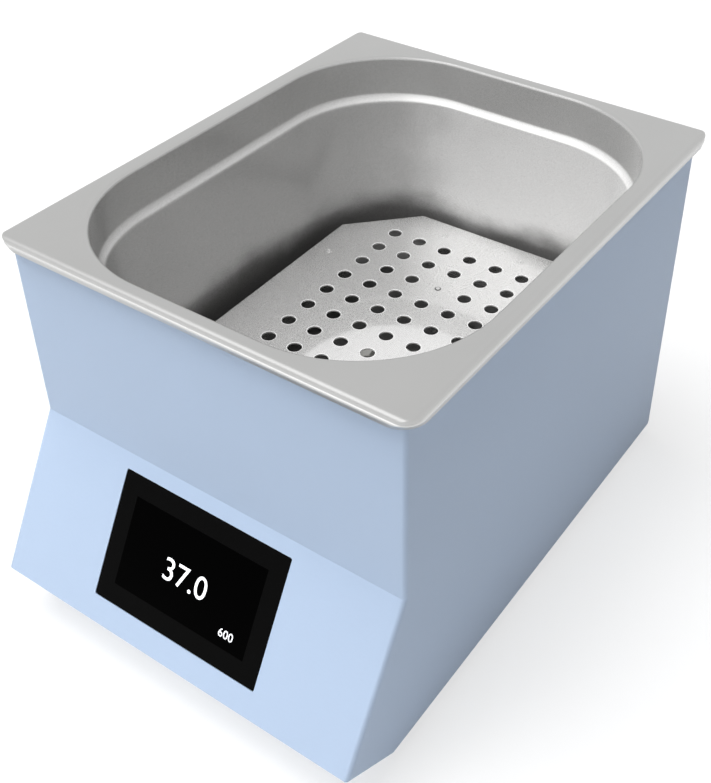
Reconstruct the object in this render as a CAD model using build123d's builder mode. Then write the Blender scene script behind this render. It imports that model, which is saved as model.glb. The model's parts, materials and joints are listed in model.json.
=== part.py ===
from build123d import *
import os
from math import atan2, cos, pi, radians, sin, tan

# Stirring water bath: a pan with a perforated shelf hangs in a folded steel case with a
# sloping touch display. A flat heater and a magnetic stirrer drive lie under the pan.
# Millimetres. The origin is the centre of the bounding box, on the surface that the feet
# stand on. +Z is up, the display faces -Y, and +X is the user's right.

# Pan, of the half-size gastronorm outline
flange_width = 265.0
flange_length = 325.0
flange_corner = 4.5
lip_corner = 13.5
flange_bend = 3.0
lip_height = 7.0
bead_height = 3.5
bead_out = 0.5
pan_sheet = 1.0
pan_depth = 150.0
rim_side = 11.5
rim_end = 9.5
rim_bend = 2.5
opening_corner = 80.0
shoulder_depth = 27.0
shoulder_step = 3.5
shoulder_drop = 4.0
shoulder_bend = 2.5
wall_draft = 4.0
floor_bend = 22.0

# Case, folded from one sheet
case_sheet = 1.2
case_side_gap = 5.2
case_front_gap = 4.3
case_rear_gap = 5.5
fold_depth = 121.8
slant_drop = 89.9
slant_run = 51.3
undercut_drop = 25.4
undercut_run = 40.4
side_bend = 2.5
fold_bend = 3.0
nose_bend = 5.0
base_bend = 3.0
return_width = 14.0
panel_sheet = 1.2
panel_inset = 1.0
base_sheet = 1.5
base_inset = 2.0
gasket_thickness = 2.0
gasket_inset = 0.5
insulation_thickness = 3.0
insulation_height = 86.0

# Feet
foot_height = 8.5
foot_radius = 11.0
foot_draft = 1.5
foot_inset = 25.0
foot_seat = 4.0
foot_seat_radius = 4.6
foot_screw_length = 10.5

# Clearances
loose_gap = 0.3
window_gap = 0.4
bore_gap = 0.1
fit_gap = 0.02
running_gap = 0.05

# Screws, nuts and studs, by shank radius
m3_radius = 1.5
m4_radius = 2.0
m5_radius = 2.5
m3_flats = 5.5
m4_flats = 7.0
m5_flats = 8.0
m3_nut = 2.4
m4_nut = 3.2
m5_nut = 4.0
head_ratio = 1.9
head_height_ratio = 1.3
crown_ratio = 0.5
cross_length_ratio = 1.6
cross_width_ratio = 0.35
cross_depth_ratio = 0.7
screw_margin = 21.0
stud_length = 16.0
stud_inset_x = 20.5
stud_inset_y = 20.5

# Shelf
shelf_depth = 115.0
shelf_width = 198.0
shelf_length = 265.0
shelf_sheet = 1.2
shelf_chamfer = 42.0
shelf_shift_x = 1.6
shelf_shift_y = 3.9
shelf_turn = 1.0
shelf_hole_radius = 4.7
shelf_pitch = 20.4
shelf_columns = 7
shelf_rows = 11
post_row = 3
post_radius = 4.0
rivet_radius = 1.8
rivet_proud = 0.3
leg_sheet = 1.2
leg_tab = 12.0
side_leg_place = 84.0
side_leg_length = 140.0
end_leg_place = 113.0
end_leg_length = 80.0
leg_foot = 14.0
leg_arch = 8.0
leg_vent_pitch = 20.0
leg_vent_count = 3

# Impeller
spindle_radius = 2.0
spindle_base_radius = 9.0
spindle_base_height = 1.5
spindle_height = 23.0
impeller_lift = 2.0
impeller_radius = 25.0
impeller_disc = 9.0
blade_height = 9.0
blade_sheet = 2.5
blade_count = 4
hub_radius = 7.0
bush_radius = 4.0
magnet_radius = 6.0
magnet_height = 6.0
magnet_circle = 15.0

# Drive under the pan
carrier_gap = 2.5
carrier_radius = 25.0
carrier_disc = 8.0
carrier_hub_radius = 7.5
carrier_hub_height = 8.0
carrier_web = 2.0
hub_clearance = 4.0
shaft_radius = 2.5
shaft_depth = 30.0
motor_radius = 21.0
motor_height = 45.0
motor_boss_radius = 6.0
motor_bolt_circle = 15.5
bridge_sheet = 1.5
bridge_bend = 3.0
bridge_span = 84.0
bridge_foot = 16.0
bridge_length = 60.0
bridge_screw_pitch = 44.0
screw_reach = 6.0

# Heater and sensors
heater_sheet = 2.5
heater_width = 160.0
heater_length = 224.0
heater_corner = 24.0
heater_hole_radius = 32.0
sensor_place = 72.0
sensor_window_width = 44.0
sensor_window_length = 30.0
probe_radius = 2.5
probe_length = 30.0
probe_block_width = 16.0
probe_block_length = 14.0
probe_block_height = 8.0
cutout_radius = 8.0
cutout_height = 11.0
cutout_ear = 15.0
cutout_strap = 1.2
cutout_strap_drop = 4.0
cutout_strap_width = 9.0
cutout_stud_length = 8.0
tab_width = 6.3
tab_sheet = 0.8
tab_length = 8.0
tab_pitch = 8.0
terminal_width = 26.0
terminal_length = 14.0
terminal_height = 9.0
terminal_x = 55.0
terminal_back = 60.4

# Display
glass_width = 118.0
glass_height = 78.0
glass_thickness = 2.0
glass_corner = 0.8
glass_below_fold = 9.5
lit_width = 95.0
lit_height = 54.0
panel_border = 5.0
panel_thickness = 4.0
display_board_thickness = 1.6
display_chip_height = 3.0
frame_border = 9.0
frame_lip = 1.2
display_stud_length = 8.0
ribbon_width = 20.0
ribbon_thickness = 0.8
ribbon_bend = 8.0
ribbon_lead = 12.0

# Control board
board_width = 120.0
board_length = 84.0
board_thickness = 1.6
front_row_gap = 10.8
standoff_height = 8.0
standoff_radius = 3.2
board_hole_inset = 5.0
header_width = 12.0
header_depth = 8.0
header_height = 9.0
transformer_width = 34.0
transformer_height = 26.0
relay_can = 16.0
relay_can_pitch = 22.0
capacitor_radius = 5.0
capacitor_height = 16.0
capacitor_pitch = 12.5
chip_width = 12.0
chip_height = 2.0

# Relay and power supply
relay_width = 45.0
relay_length = 58.0
relay_height = 28.0
relay_gap = 21.5
relay_screw_pitch = 47.5
relay_flange = 1.5
relay_body_length = 37.0
supply_width = 100.0
supply_length = 84.0
supply_height = 32.0
supply_foot_gap = 7.3
supply_rear_gap = 29.4
supply_tab = 9.0
supply_tab_sheet = 1.5
supply_terminal = 8.0
supply_terminal_length = 58.0
supply_terminal_height = 16.0
supply_terminal_rise = 3.0
supply_screw_pitch = 70.0

# Mains inlet, fuse drawer and power switch
inlet_side_gap = 42.3
inlet_rise = 40.0
inlet_width = 28.0
inlet_height = 32.0
inlet_depth = 28.0
inlet_flange_width = 50.0
inlet_flange_height = 34.0
inlet_flange = 2.5
inlet_screw_pitch = 40.0
socket_width = 24.0
socket_height = 16.4
socket_depth = 15.0
socket_rise = 6.0
socket_corner = 5.0
pin_width = 2.0
pin_height = 4.0
pin_length = 34.0
pin_spread = 7.0
pin_low = 1.5
pin_high = 2.5
pin_recess = 1.0
drawer_width = 22.0
drawer_height = 7.0
drawer_depth = 22.0
drawer_drop = 9.5
drawer_front = 1.6
fuse_radius = 2.5
fuse_length = 20.0
fuse_spread = 5.5
switch_spacing = 40.0
switch_width = 13.0
switch_height = 20.4
switch_depth = 15.0
bezel_width = 15.0
bezel_height = 24.0
bezel_front = 2.0
rocker_width = 11.0
rocker_room = 18.6
rocker_room_depth = 9.6
rocker_height = 16.4
rocker_proud = 0.6
rocker_valley = 1.4
rocker_shoulder = 1.5
rocker_belly = 4.8
rocker_belly_height = 6.0
rocker_pivot_depth = 3.0
rocker_pin_radius = 1.2
rocker_tilt = 10.0
earth_spacing = 23.0
earth_rear_gap = 51.4
earth_stud_length = 18.0
vent_length = 30.0
vent_width = 3.5
vent_pitch = 9.0
vent_count = 9
vent_side_gap = 65.3
vent_rise = 42.0

# Inner leads: an arc takes this share of the shorter of its two runs
bend_share = 0.45
motor_lead_radius = 2.0
heater_lead_radius = 2.5
mains_lead_radius = 3.0

# Worked out: heights
case_bottom = foot_height + base_sheet
flange_top = case_bottom + fold_depth + slant_drop + undercut_drop
flange_under = flange_top - pan_sheet
case_top = flange_under - gasket_thickness
fold_z = flange_top - fold_depth
nose_z = fold_z - slant_drop
pan_floor = flange_top - pan_depth + pan_sheet
pan_bottom = flange_top - pan_depth
shelf_top = flange_top - shelf_depth
leg_height = shelf_top - shelf_sheet - pan_floor

# Worked out: lengths, from the pan's centre and then in the part's frame
opening_width = flange_width - 2 * rim_side
opening_length = flange_length - 2 * rim_end
case_width = flange_width - 2 * case_side_gap
front_reach = flange_length / 2 - case_front_gap
rear_reach = flange_length / 2 - case_rear_gap
nose_reach = front_reach + slant_run
slant_tilt = atan2(slant_run, slant_drop)
undercut_tilt = atan2(undercut_run, undercut_drop)
nose_half = (pi - slant_tilt - undercut_tilt) / 2
tip_recess = nose_bend * (sin(slant_tilt + nose_half) / sin(nose_half) - 1)
pan_y = (nose_reach - tip_recess - flange_length / 2 - bead_out) / 2
front_y = pan_y - front_reach
nose_y = pan_y - nose_reach
base_y = nose_y + undercut_run
rear_y = pan_y + rear_reach
shell_rear_y = rear_y - panel_sheet
base_middle_y = (base_y + shell_rear_y) / 2

# Worked out: the pan's section, inward from the opening's edge
wall_run = pan_depth - pan_sheet - shoulder_depth - shoulder_drop
wall_inset = shoulder_step + wall_run * tan(radians(wall_draft))
floor_inset = wall_inset + floor_bend * tan(radians((90 - wall_draft) / 2)) + pan_sheet

# Planes that the pieces lie on
pan_plane = Plane(origin=(0, pan_y, flange_top))
rim_plane = Plane(origin=(0, pan_y, flange_top), x_dir=(1, 0, 0), z_dir=(0, -1, 0))
slant_normal = (0, -cos(slant_tilt), sin(slant_tilt))
slant_plane = Plane(origin=(0, front_y, fold_z), x_dir=(1, 0, 0), z_dir=slant_normal)
floor_plane = Plane(origin=(0, pan_y, pan_floor))
under_plane = Plane(origin=(0, pan_y, pan_bottom))
inside_plane = Plane(origin=(0, 0, case_bottom))

os.makedirs("parts", exist_ok=True)


def pan_screw(radius, length):
    """A pan head screw down from the origin, its head above."""
    with BuildPart() as screw:
        Cylinder(radius, length, align=(Align.CENTER, Align.CENTER, Align.MAX))
        Cylinder(
            radius * head_ratio,
            radius * head_height_ratio,
            align=(Align.CENTER, Align.CENTER, Align.MIN),
        )
        crown = screw.edges().sort_by(Axis.Z)[-1]
        fillet(crown, radius * crown_ratio)
        with BuildSketch(Plane.XY.offset(radius * head_height_ratio)):
            Rectangle(radius * cross_length_ratio, radius * cross_width_ratio)
            Rectangle(radius * cross_width_ratio, radius * cross_length_ratio)
        extrude(amount=-radius * cross_depth_ratio, mode=Mode.SUBTRACT)
    return screw.part


def hex_nut(radius, flats, height):
    """A nut that stands up from the origin."""
    with BuildPart() as nut:
        with BuildSketch():
            RegularPolygon(flats / 2, 6, major_radius=False)
            Circle(radius + running_gap, mode=Mode.SUBTRACT)
        extrude(amount=height)
    return nut.part


def case_block(inset):
    """The case's outside, or with the sheet as its inset the space inside it."""
    with BuildPart() as block:
        with BuildSketch(Plane.YZ) as side:
            with BuildLine():
                Polyline(
                    (shell_rear_y, case_top),
                    (front_y, case_top),
                    (front_y, fold_z),
                    (nose_y, nose_z),
                    (base_y, case_bottom),
                    (shell_rear_y, case_bottom),
                    close=True,
                )
            make_face()
            corners = side.vertices()
            fillet(corners.sort_by_distance((0, front_y, fold_z))[0], fold_bend)
            fillet(corners.sort_by_distance((0, nose_y, nose_z))[0], nose_bend)
            fillet(corners.sort_by_distance((0, base_y, case_bottom))[0], base_bend)
            fillet(corners.sort_by_distance((0, shell_rear_y, case_bottom))[0], side_bend)
            if inset:
                offset(amount=-inset)
        extrude(amount=case_width / 2 - inset, both=True)
        flanks = block.faces().filter_by(Axis.X).edges()
        top_edges = flanks.filter_by_position(Axis.Z, case_top - inset - fit_gap, case_top)
        fillet([edge for edge in flanks if edge not in top_edges], side_bend - inset)
    return block.part


# The pan's wall is one section carried round the rim, closed by a flat floor
def rim_path():
    """The opening's edge, from the middle of its right side."""
    half_x = opening_width / 2
    half_y = opening_length / 2
    with BuildLine(pan_plane) as path:
        Line((half_x, 0), (half_x, half_y - opening_corner))
        RadiusArc((half_x, half_y - opening_corner), (half_x - opening_corner, half_y), -opening_corner)
        Line((half_x - opening_corner, half_y), (0, half_y))
        mirror(about=Plane.YZ)
        mirror(about=Plane.XZ.offset(-pan_y))
    return path.wires()[0]


rim = rim_path()
rim_x = opening_width / 2

with BuildPart() as tank:
    with BuildSketch(pan_plane):
        RectangleRounded(flange_width, flange_length, flange_corner)
    with BuildSketch(pan_plane.offset(-lip_height)):
        RectangleRounded(flange_width, flange_length, lip_corner)
    loft(ruled=True)
    fillet(tank.faces().sort_by(Axis.Z)[-1].edges(), flange_bend)
    with BuildSketch(pan_plane.offset(-lip_height)) as bead:
        RectangleRounded(
            flange_width + 2 * bead_out, flange_length + 2 * bead_out, lip_corner + bead_out
        )
    extrude(amount=bead_height)
    with BuildSketch(pan_plane.offset(-pan_sheet)):
        RectangleRounded(
            flange_width - 2 * pan_sheet, flange_length - 2 * pan_sheet, flange_corner - pan_sheet
        )
    with BuildSketch(pan_plane.offset(-lip_height)):
        RectangleRounded(
            flange_width - 2 * pan_sheet, flange_length - 2 * pan_sheet, lip_corner - pan_sheet
        )
    loft(ruled=True, mode=Mode.SUBTRACT)
    with BuildSketch(pan_plane):
        RectangleRounded(
            opening_width + 2 * rim_bend, opening_length + 2 * rim_bend, opening_corner + rim_bend
        )
    extrude(amount=-lip_height, mode=Mode.SUBTRACT)
    with BuildSketch(rim_plane):
        with BuildLine():
            water_side = FilletPolyline(
                (rim_x + rim_bend + pan_sheet, 0),
                (rim_x, 0),
                (rim_x, -shoulder_depth),
                (rim_x - shoulder_step, -shoulder_depth - shoulder_drop),
                (rim_x - wall_inset, pan_sheet - pan_depth),
                (rim_x - floor_inset, pan_sheet - pan_depth),
                radius=[rim_bend, shoulder_bend, shoulder_bend, floor_bend],
            )
            offset(water_side, amount=pan_sheet, side=Side.LEFT, closed=True)
        make_face()
    sweep(path=rim)
    with BuildSketch(under_plane):
        RectangleRounded(
            opening_width - 2 * floor_inset + pan_sheet,
            opening_length - 2 * floor_inset + pan_sheet,
            opening_corner - floor_inset + pan_sheet / 2,
        )
    extrude(amount=pan_sheet)
tank.part.label = "tank"
export_step(tank.part, "parts/tank.step")

# What holds the pan on the case: four studs welded under the flange's corners
stud_pitch_x = flange_width - 2 * stud_inset_x
stud_pitch_y = flange_length - 2 * stud_inset_y
stud_plane = pan_plane.offset(-pan_sheet)

with BuildPart(stud_plane) as tank_studs:
    with GridLocations(stud_pitch_x, stud_pitch_y, 2, 2):
        Cylinder(m5_radius, stud_length, align=(Align.CENTER, Align.CENTER, Align.MAX))
tank_studs.part.label = "tank_studs"
export_step(tank_studs.part, "parts/tank_studs.step")

m5_hex = hex_nut(m5_radius, m5_flats, m5_nut)
with BuildPart(Plane(origin=(0, pan_y, case_top - case_sheet - m5_nut))) as tank_nuts:
    with GridLocations(stud_pitch_x, stud_pitch_y, 2, 2):
        add(m5_hex)
tank_nuts.part.label = "tank_nuts"
export_step(tank_nuts.part, "parts/tank_nuts.step")

with BuildPart() as tank_gasket:
    with BuildSketch(Plane(origin=(0, (front_y + rear_y) / 2, case_top))):
        RectangleRounded(case_width - 2 * gasket_inset, rear_y - front_y - 2 * gasket_inset, side_bend)
    extrude(amount=gasket_thickness)
    with BuildSketch(Plane(origin=(0, pan_y, case_top))):
        RectangleRounded(
            opening_width + 2 * (pan_sheet + loose_gap),
            opening_length + 2 * (pan_sheet + loose_gap),
            opening_corner + pan_sheet + loose_gap,
        )
    extrude(amount=gasket_thickness, mode=Mode.SUBTRACT)
    rim_edges = tank_gasket.faces().sort_by(Axis.Z)[-1].inner_wires()[0].edges()
    chamfer(rim_edges, rim_bend - pan_sheet)
    with BuildSketch(Plane(origin=(0, pan_y, case_top))):
        with GridLocations(stud_pitch_x, stud_pitch_y, 2, 2):
            Circle(m5_radius + bore_gap)
    extrude(amount=gasket_thickness, mode=Mode.SUBTRACT)
tank_gasket.part.label = "tank_gasket"
export_step(tank_gasket.part, "parts/tank_gasket.step")

# The insulation is a blanket that follows the pan's tapered wall
blanket_top = -shoulder_depth - shoulder_drop - shoulder_bend
blanket_bottom = blanket_top - insulation_height
blanket_in = pan_sheet / cos(radians(wall_draft)) + loose_gap


def wall_at(height):
    """The water side of the tapered wall, as a distance out from the pan's middle."""
    below = -shoulder_depth - shoulder_drop - height
    return rim_x - shoulder_step - below * tan(radians(wall_draft))


with BuildPart() as tank_insulation:
    with BuildSketch(rim_plane):
        Polygon(
            (wall_at(blanket_top) + blanket_in, blanket_top),
            (wall_at(blanket_top) + blanket_in + insulation_thickness, blanket_top),
            (wall_at(blanket_bottom) + blanket_in + insulation_thickness, blanket_bottom),
            (wall_at(blanket_bottom) + blanket_in, blanket_bottom),
            align=None,
        )
    sweep(path=rim)
tank_insulation.part.label = "tank_insulation"
export_step(tank_insulation.part, "parts/tank_insulation.step")

# Shelf: a perforated plate, four folded legs spot welded under it and two riveted posts
shelf_plane = Plane(origin=(shelf_shift_x, pan_y + shelf_shift_y, pan_floor)).rotated((0, 0, shelf_turn))
post_place = shelf_pitch * post_row

with BuildPart(shelf_plane.offset(leg_height)) as perforated_shelf:
    with BuildSketch(shelf_plane.offset(leg_height)) as plate:
        Rectangle(shelf_width, shelf_length)
        chamfer(plate.vertices(), shelf_chamfer)
        with GridLocations(shelf_pitch, shelf_pitch, shelf_columns, shelf_rows):
            Circle(shelf_hole_radius, mode=Mode.SUBTRACT)
        with Locations((0, post_place), (0, -post_place)):
            Circle(shelf_hole_radius)
            Circle(rivet_radius + fit_gap, mode=Mode.SUBTRACT)
    extrude(amount=shelf_sheet)
perforated_shelf.part.label = "perforated_shelf"
export_step(perforated_shelf.part, "parts/perforated_shelf.step")


def shelf_leg(length):
    """A leg folded from strip: a web along Y and a tab out to +X under the shelf."""
    with BuildPart() as leg:
        with BuildSketch(Plane.XZ) as section:
            with BuildLine():
                Polyline(
                    (0, 0),
                    (leg_sheet, 0),
                    (leg_sheet, leg_height - leg_sheet),
                    (leg_tab, leg_height - leg_sheet),
                    (leg_tab, leg_height),
                    (0, leg_height),
                    close=True,
                )
            make_face()
            inner = section.vertices().sort_by_distance((leg_sheet, 0, leg_height - leg_sheet))[0]
            outer = section.vertices().sort_by_distance((0, 0, leg_height))[0]
            fillet(inner, leg_sheet)
            fillet(outer, 2 * leg_sheet)
        extrude(amount=length / 2, both=True)
        with BuildSketch(Plane.YZ):
            with Locations((0, leg_arch / 2)):
                Rectangle(length - 2 * leg_foot, leg_arch)
            with Locations((0, (leg_arch + leg_height) / 2)):
                with GridLocations(leg_vent_pitch, 0, leg_vent_count, 1):
                    Circle(leg_arch / 2)
        extrude(amount=leg_tab, both=True, mode=Mode.SUBTRACT)
    return leg.part


side_leg = shelf_leg(side_leg_length)
end_leg = shelf_leg(end_leg_length)
with BuildPart(shelf_plane) as shelf_legs:
    with Locations(Location((side_leg_place, 0, 0)), Location((-side_leg_place, 0, 0), (0, 0, 180))):
        add(side_leg)
    with Locations(
        Location((0, end_leg_place, 0), (0, 0, 90)), Location((0, -end_leg_place, 0), (0, 0, -90))
    ):
        add(end_leg)
shelf_legs.part.label = "shelf_legs"
export_step(shelf_legs.part, "parts/shelf_legs.step")

with BuildPart(shelf_plane) as shelf_posts:
    with Locations((0, post_place), (0, -post_place)):
        Cylinder(post_radius, leg_height, align=(Align.CENTER, Align.CENTER, Align.MIN))
    with Locations((0, post_place, leg_height), (0, -post_place, leg_height)):
        Cylinder(
            rivet_radius, shelf_sheet + rivet_proud, align=(Align.CENTER, Align.CENTER, Align.MIN)
        )
shelf_posts.part.label = "shelf_posts"
export_step(shelf_posts.part, "parts/shelf_posts.step")

# Impeller: it turns on a spindle welded to the floor and follows the magnets below
with BuildPart(floor_plane) as impeller_spindle:
    Cylinder(
        spindle_base_radius, spindle_base_height, align=(Align.CENTER, Align.CENTER, Align.MIN)
    )
    Cylinder(spindle_radius, spindle_height, align=(Align.CENTER, Align.CENTER, Align.MIN))
    tip = impeller_spindle.edges().sort_by(Axis.Z)[-1]
    fillet(tip, spindle_radius / 2)
impeller_spindle.part.label = "impeller_spindle"
export_step(impeller_spindle.part, "parts/impeller_spindle.step")

impeller_height = impeller_disc + blade_height
impeller_plane = floor_plane.offset(impeller_lift)
with BuildPart(impeller_plane) as impeller:
    Cylinder(impeller_radius, impeller_disc, align=(Align.CENTER, Align.CENTER, Align.MIN))
    Cylinder(hub_radius, impeller_height, align=(Align.CENTER, Align.CENTER, Align.MIN))
    with PolarLocations((hub_radius + impeller_radius) / 2, blade_count, start_angle=180 / blade_count):
        Box(
            impeller_radius - hub_radius + running_gap,
            blade_sheet,
            impeller_height,
            align=(Align.CENTER, Align.CENTER, Align.MIN),
        )
    Hole(bush_radius + fit_gap)
    with PolarLocations(magnet_circle, 2):
        Cylinder(
            magnet_radius + fit_gap,
            magnet_height,
            align=(Align.CENTER, Align.CENTER, Align.MIN),
            mode=Mode.SUBTRACT,
        )
impeller.part.label = "impeller"
export_step(impeller.part, "parts/impeller.step")

with BuildPart(impeller_plane) as impeller_bush:
    Cylinder(bush_radius, impeller_height, align=(Align.CENTER, Align.CENTER, Align.MIN))
    Hole(spindle_radius + running_gap)
impeller_bush.part.label = "impeller_bush"
export_step(impeller_bush.part, "parts/impeller_bush.step")

with BuildPart(impeller_plane) as impeller_magnets:
    with PolarLocations(magnet_circle, 2):
        Cylinder(magnet_radius, magnet_height, align=(Align.CENTER, Align.CENTER, Align.MIN))
impeller_magnets.part.label = "impeller_magnets"
export_step(impeller_magnets.part, "parts/impeller_magnets.step")

# Drive: a magnet carrier on the motor's shaft, just under the floor
carrier_top = under_plane.offset(-carrier_gap)
carrier_height = carrier_disc + carrier_hub_height
bridge_top = pan_bottom - carrier_gap - carrier_height - hub_clearance
motor_face = bridge_top - bridge_sheet
motor_bottom = motor_face - motor_height
shaft_top = pan_bottom - carrier_gap - carrier_web
shaft_bottom = motor_face - shaft_depth
set_screw_length = carrier_hub_radius - shaft_radius - fit_gap

with BuildPart(carrier_top) as magnet_carrier:
    Cylinder(carrier_radius, carrier_disc, align=(Align.CENTER, Align.CENTER, Align.MAX))
    Cylinder(carrier_hub_radius, carrier_height, align=(Align.CENTER, Align.CENTER, Align.MAX))
    with Locations((0, 0, -carrier_web)):
        Cylinder(
            shaft_radius + fit_gap,
            carrier_height,
            align=(Align.CENTER, Align.CENTER, Align.MAX),
            mode=Mode.SUBTRACT,
        )
    with PolarLocations(magnet_circle, 2):
        Cylinder(
            magnet_radius + fit_gap,
            magnet_height,
            align=(Align.CENTER, Align.CENTER, Align.MAX),
            mode=Mode.SUBTRACT,
        )
    with Locations(Location((0, 0, -carrier_disc - carrier_hub_height / 2), (90, 0, 0))):
        Cylinder(
            m3_radius + fit_gap,
            carrier_hub_radius * 2,
            align=(Align.CENTER, Align.CENTER, Align.MIN),
            mode=Mode.SUBTRACT,
        )
magnet_carrier.part.label = "magnet_carrier"
export_step(magnet_carrier.part, "parts/magnet_carrier.step")

with BuildPart(carrier_top) as drive_magnets:
    with PolarLocations(magnet_circle, 2):
        Cylinder(magnet_radius, magnet_height, align=(Align.CENTER, Align.CENTER, Align.MAX))
drive_magnets.part.label = "drive_magnets"
export_step(drive_magnets.part, "parts/drive_magnets.step")

set_screw_z = pan_bottom - carrier_gap - carrier_disc - carrier_hub_height / 2
set_screw_plane = Plane(origin=(0, pan_y - shaft_radius - fit_gap, set_screw_z), z_dir=(0, -1, 0))
with BuildPart(set_screw_plane) as carrier_set_screw:
    Cylinder(m3_radius, set_screw_length, align=(Align.CENTER, Align.CENTER, Align.MIN))
    with BuildSketch(set_screw_plane.offset(set_screw_length)):
        RegularPolygon(m3_radius / 2, 6)
    extrude(amount=-m3_radius, mode=Mode.SUBTRACT)
carrier_set_screw.part.label = "carrier_set_screw"
export_step(carrier_set_screw.part, "parts/carrier_set_screw.step")

with BuildPart(Plane(origin=(0, pan_y, shaft_bottom))) as motor_shaft:
    Cylinder(
        shaft_radius, shaft_top - shaft_bottom - fit_gap, align=(Align.CENTER, Align.CENTER, Align.MIN)
    )
motor_shaft.part.label = "motor_shaft"
export_step(motor_shaft.part, "parts/motor_shaft.step")

motor_plane = Plane(origin=(0, pan_y, motor_face))
with BuildPart(motor_plane) as motor_body:
    Cylinder(motor_radius, motor_height, align=(Align.CENTER, Align.CENTER, Align.MAX))
    fillet(motor_body.edges().filter_by(GeomType.CIRCLE), fold_bend)
    Cylinder(motor_boss_radius, bridge_sheet, align=(Align.CENTER, Align.CENTER, Align.MIN))
    with Locations((0, 0, bridge_sheet)):
        Cylinder(
            shaft_radius + running_gap,
            shaft_depth + bridge_sheet + running_gap,
            align=(Align.CENTER, Align.CENTER, Align.MAX),
            mode=Mode.SUBTRACT,
        )
    with PolarLocations(motor_bolt_circle, 4, start_angle=45):
        Cylinder(
            m3_radius + fit_gap,
            screw_reach,
            align=(Align.CENTER, Align.CENTER, Align.MAX),
            mode=Mode.SUBTRACT,
        )
motor_body.part.label = "motor_body"
export_step(motor_body.part, "parts/motor_body.step")

m3_screw = pan_screw(m3_radius, screw_reach)
m4_screw = pan_screw(m4_radius, screw_reach)

with BuildPart(motor_plane.offset(bridge_sheet)) as motor_screws:
    with PolarLocations(motor_bolt_circle, 4, start_angle=45):
        add(m3_screw)
motor_screws.part.label = "motor_screws"
export_step(motor_screws.part, "parts/motor_screws.step")

bridge_reach = bridge_span / 2 + bridge_foot
bridge_screw_x = (bridge_span + bridge_foot) / 2
with BuildPart() as motor_bridge:
    with BuildSketch(Plane(origin=(0, pan_y, 0), x_dir=(1, 0, 0), z_dir=(0, -1, 0))):
        with BuildLine():
            under_side = FilletPolyline(
                (-bridge_reach, case_bottom),
                (-bridge_span / 2, case_bottom),
                (-bridge_span / 2, motor_face),
                (bridge_span / 2, motor_face),
                (bridge_span / 2, case_bottom),
                (bridge_reach, case_bottom),
                radius=bridge_bend,
            )
            offset(under_side, amount=bridge_sheet, side=Side.LEFT, closed=True)
        make_face()
    extrude(amount=bridge_length / 2, both=True)
    with BuildSketch(motor_plane):
        Circle(motor_boss_radius + bore_gap)
        with PolarLocations(motor_bolt_circle, 4, start_angle=45):
            Circle(m3_radius + bore_gap)
    extrude(amount=bridge_sheet, mode=Mode.SUBTRACT)
    with BuildSketch(Plane(origin=(0, pan_y, case_bottom))):
        with GridLocations(2 * bridge_screw_x, bridge_screw_pitch, 2, 2):
            Circle(m4_radius + bore_gap)
    extrude(amount=bridge_sheet, mode=Mode.SUBTRACT)
motor_bridge.part.label = "motor_bridge"
export_step(motor_bridge.part, "parts/motor_bridge.step")

# Heater mat on the pan's underside, with a hole for the drive and two sensor windows
with BuildPart(under_plane) as heater_mat:
    with BuildSketch(under_plane):
        RectangleRounded(heater_width, heater_length, heater_corner)
        Circle(heater_hole_radius, mode=Mode.SUBTRACT)
        with Locations((0, sensor_place), (0, -sensor_place)):
            Rectangle(sensor_window_width, sensor_window_length, mode=Mode.SUBTRACT)
    extrude(amount=-heater_sheet)
heater_mat.part.label = "heater_mat"
export_step(heater_mat.part, "parts/heater_mat.step")

terminal_y = pan_y - terminal_back
with BuildPart(Plane(origin=(terminal_x, terminal_y, pan_bottom - heater_sheet))) as heater_terminal:
    Box(
        terminal_width,
        terminal_length,
        terminal_height,
        align=(Align.CENTER, Align.CENTER, Align.MAX),
    )
    fillet(heater_terminal.edges().filter_by(Axis.Z), m3_radius)
heater_terminal.part.label = "heater_terminal"
export_step(heater_terminal.part, "parts/heater_terminal.step")

probe_plane = Plane(origin=(0, pan_y - sensor_place, pan_bottom))
probe_axis = Plane(origin=(0, pan_y - sensor_place, pan_bottom - probe_block_height / 2), z_dir=(1, 0, 0))
with BuildPart(probe_plane) as probe_block:
    Box(
        probe_block_width,
        probe_block_length,
        probe_block_height,
        align=(Align.CENTER, Align.CENTER, Align.MAX),
    )
    with BuildSketch(probe_axis):
        Circle(probe_radius + fit_gap)
    extrude(amount=probe_block_width, both=True, mode=Mode.SUBTRACT)
probe_block.part.label = "probe_block"
export_step(probe_block.part, "parts/probe_block.step")

with BuildPart() as temperature_probe:
    with BuildSketch(probe_axis):
        Circle(probe_radius)
    extrude(amount=probe_length / 2, both=True)
temperature_probe.part.label = "temperature_probe"
export_step(temperature_probe.part, "parts/temperature_probe.step")

cutout_plane = Plane(origin=(0, pan_y + sensor_place, pan_bottom))
cutout_reach = cutout_ear + m3_radius * head_ratio
with BuildPart(cutout_plane) as thermal_cutout:
    Cylinder(cutout_radius, cutout_height, align=(Align.CENTER, Align.CENTER, Align.MAX))
    with BuildSketch(cutout_plane.offset(-cutout_strap_drop)):
        SlotOverall(2 * cutout_reach + m3_radius, cutout_strap_width)
        with Locations((cutout_ear, 0), (-cutout_ear, 0)):
            Circle(m3_radius + bore_gap, mode=Mode.SUBTRACT)
    extrude(amount=-cutout_strap)
    with BuildSketch(cutout_plane.offset(-cutout_height)):
        with GridLocations(0, tab_pitch, 1, 2):
            Rectangle(tab_width, tab_sheet)
    extrude(amount=-tab_length)
thermal_cutout.part.label = "thermal_cutout"
export_step(thermal_cutout.part, "parts/thermal_cutout.step")

with BuildPart(cutout_plane) as cutout_studs:
    with Locations((cutout_ear, 0), (-cutout_ear, 0)):
        Cylinder(m3_radius, cutout_stud_length, align=(Align.CENTER, Align.CENTER, Align.MAX))
cutout_studs.part.label = "cutout_studs"
export_step(cutout_studs.part, "parts/cutout_studs.step")

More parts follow.
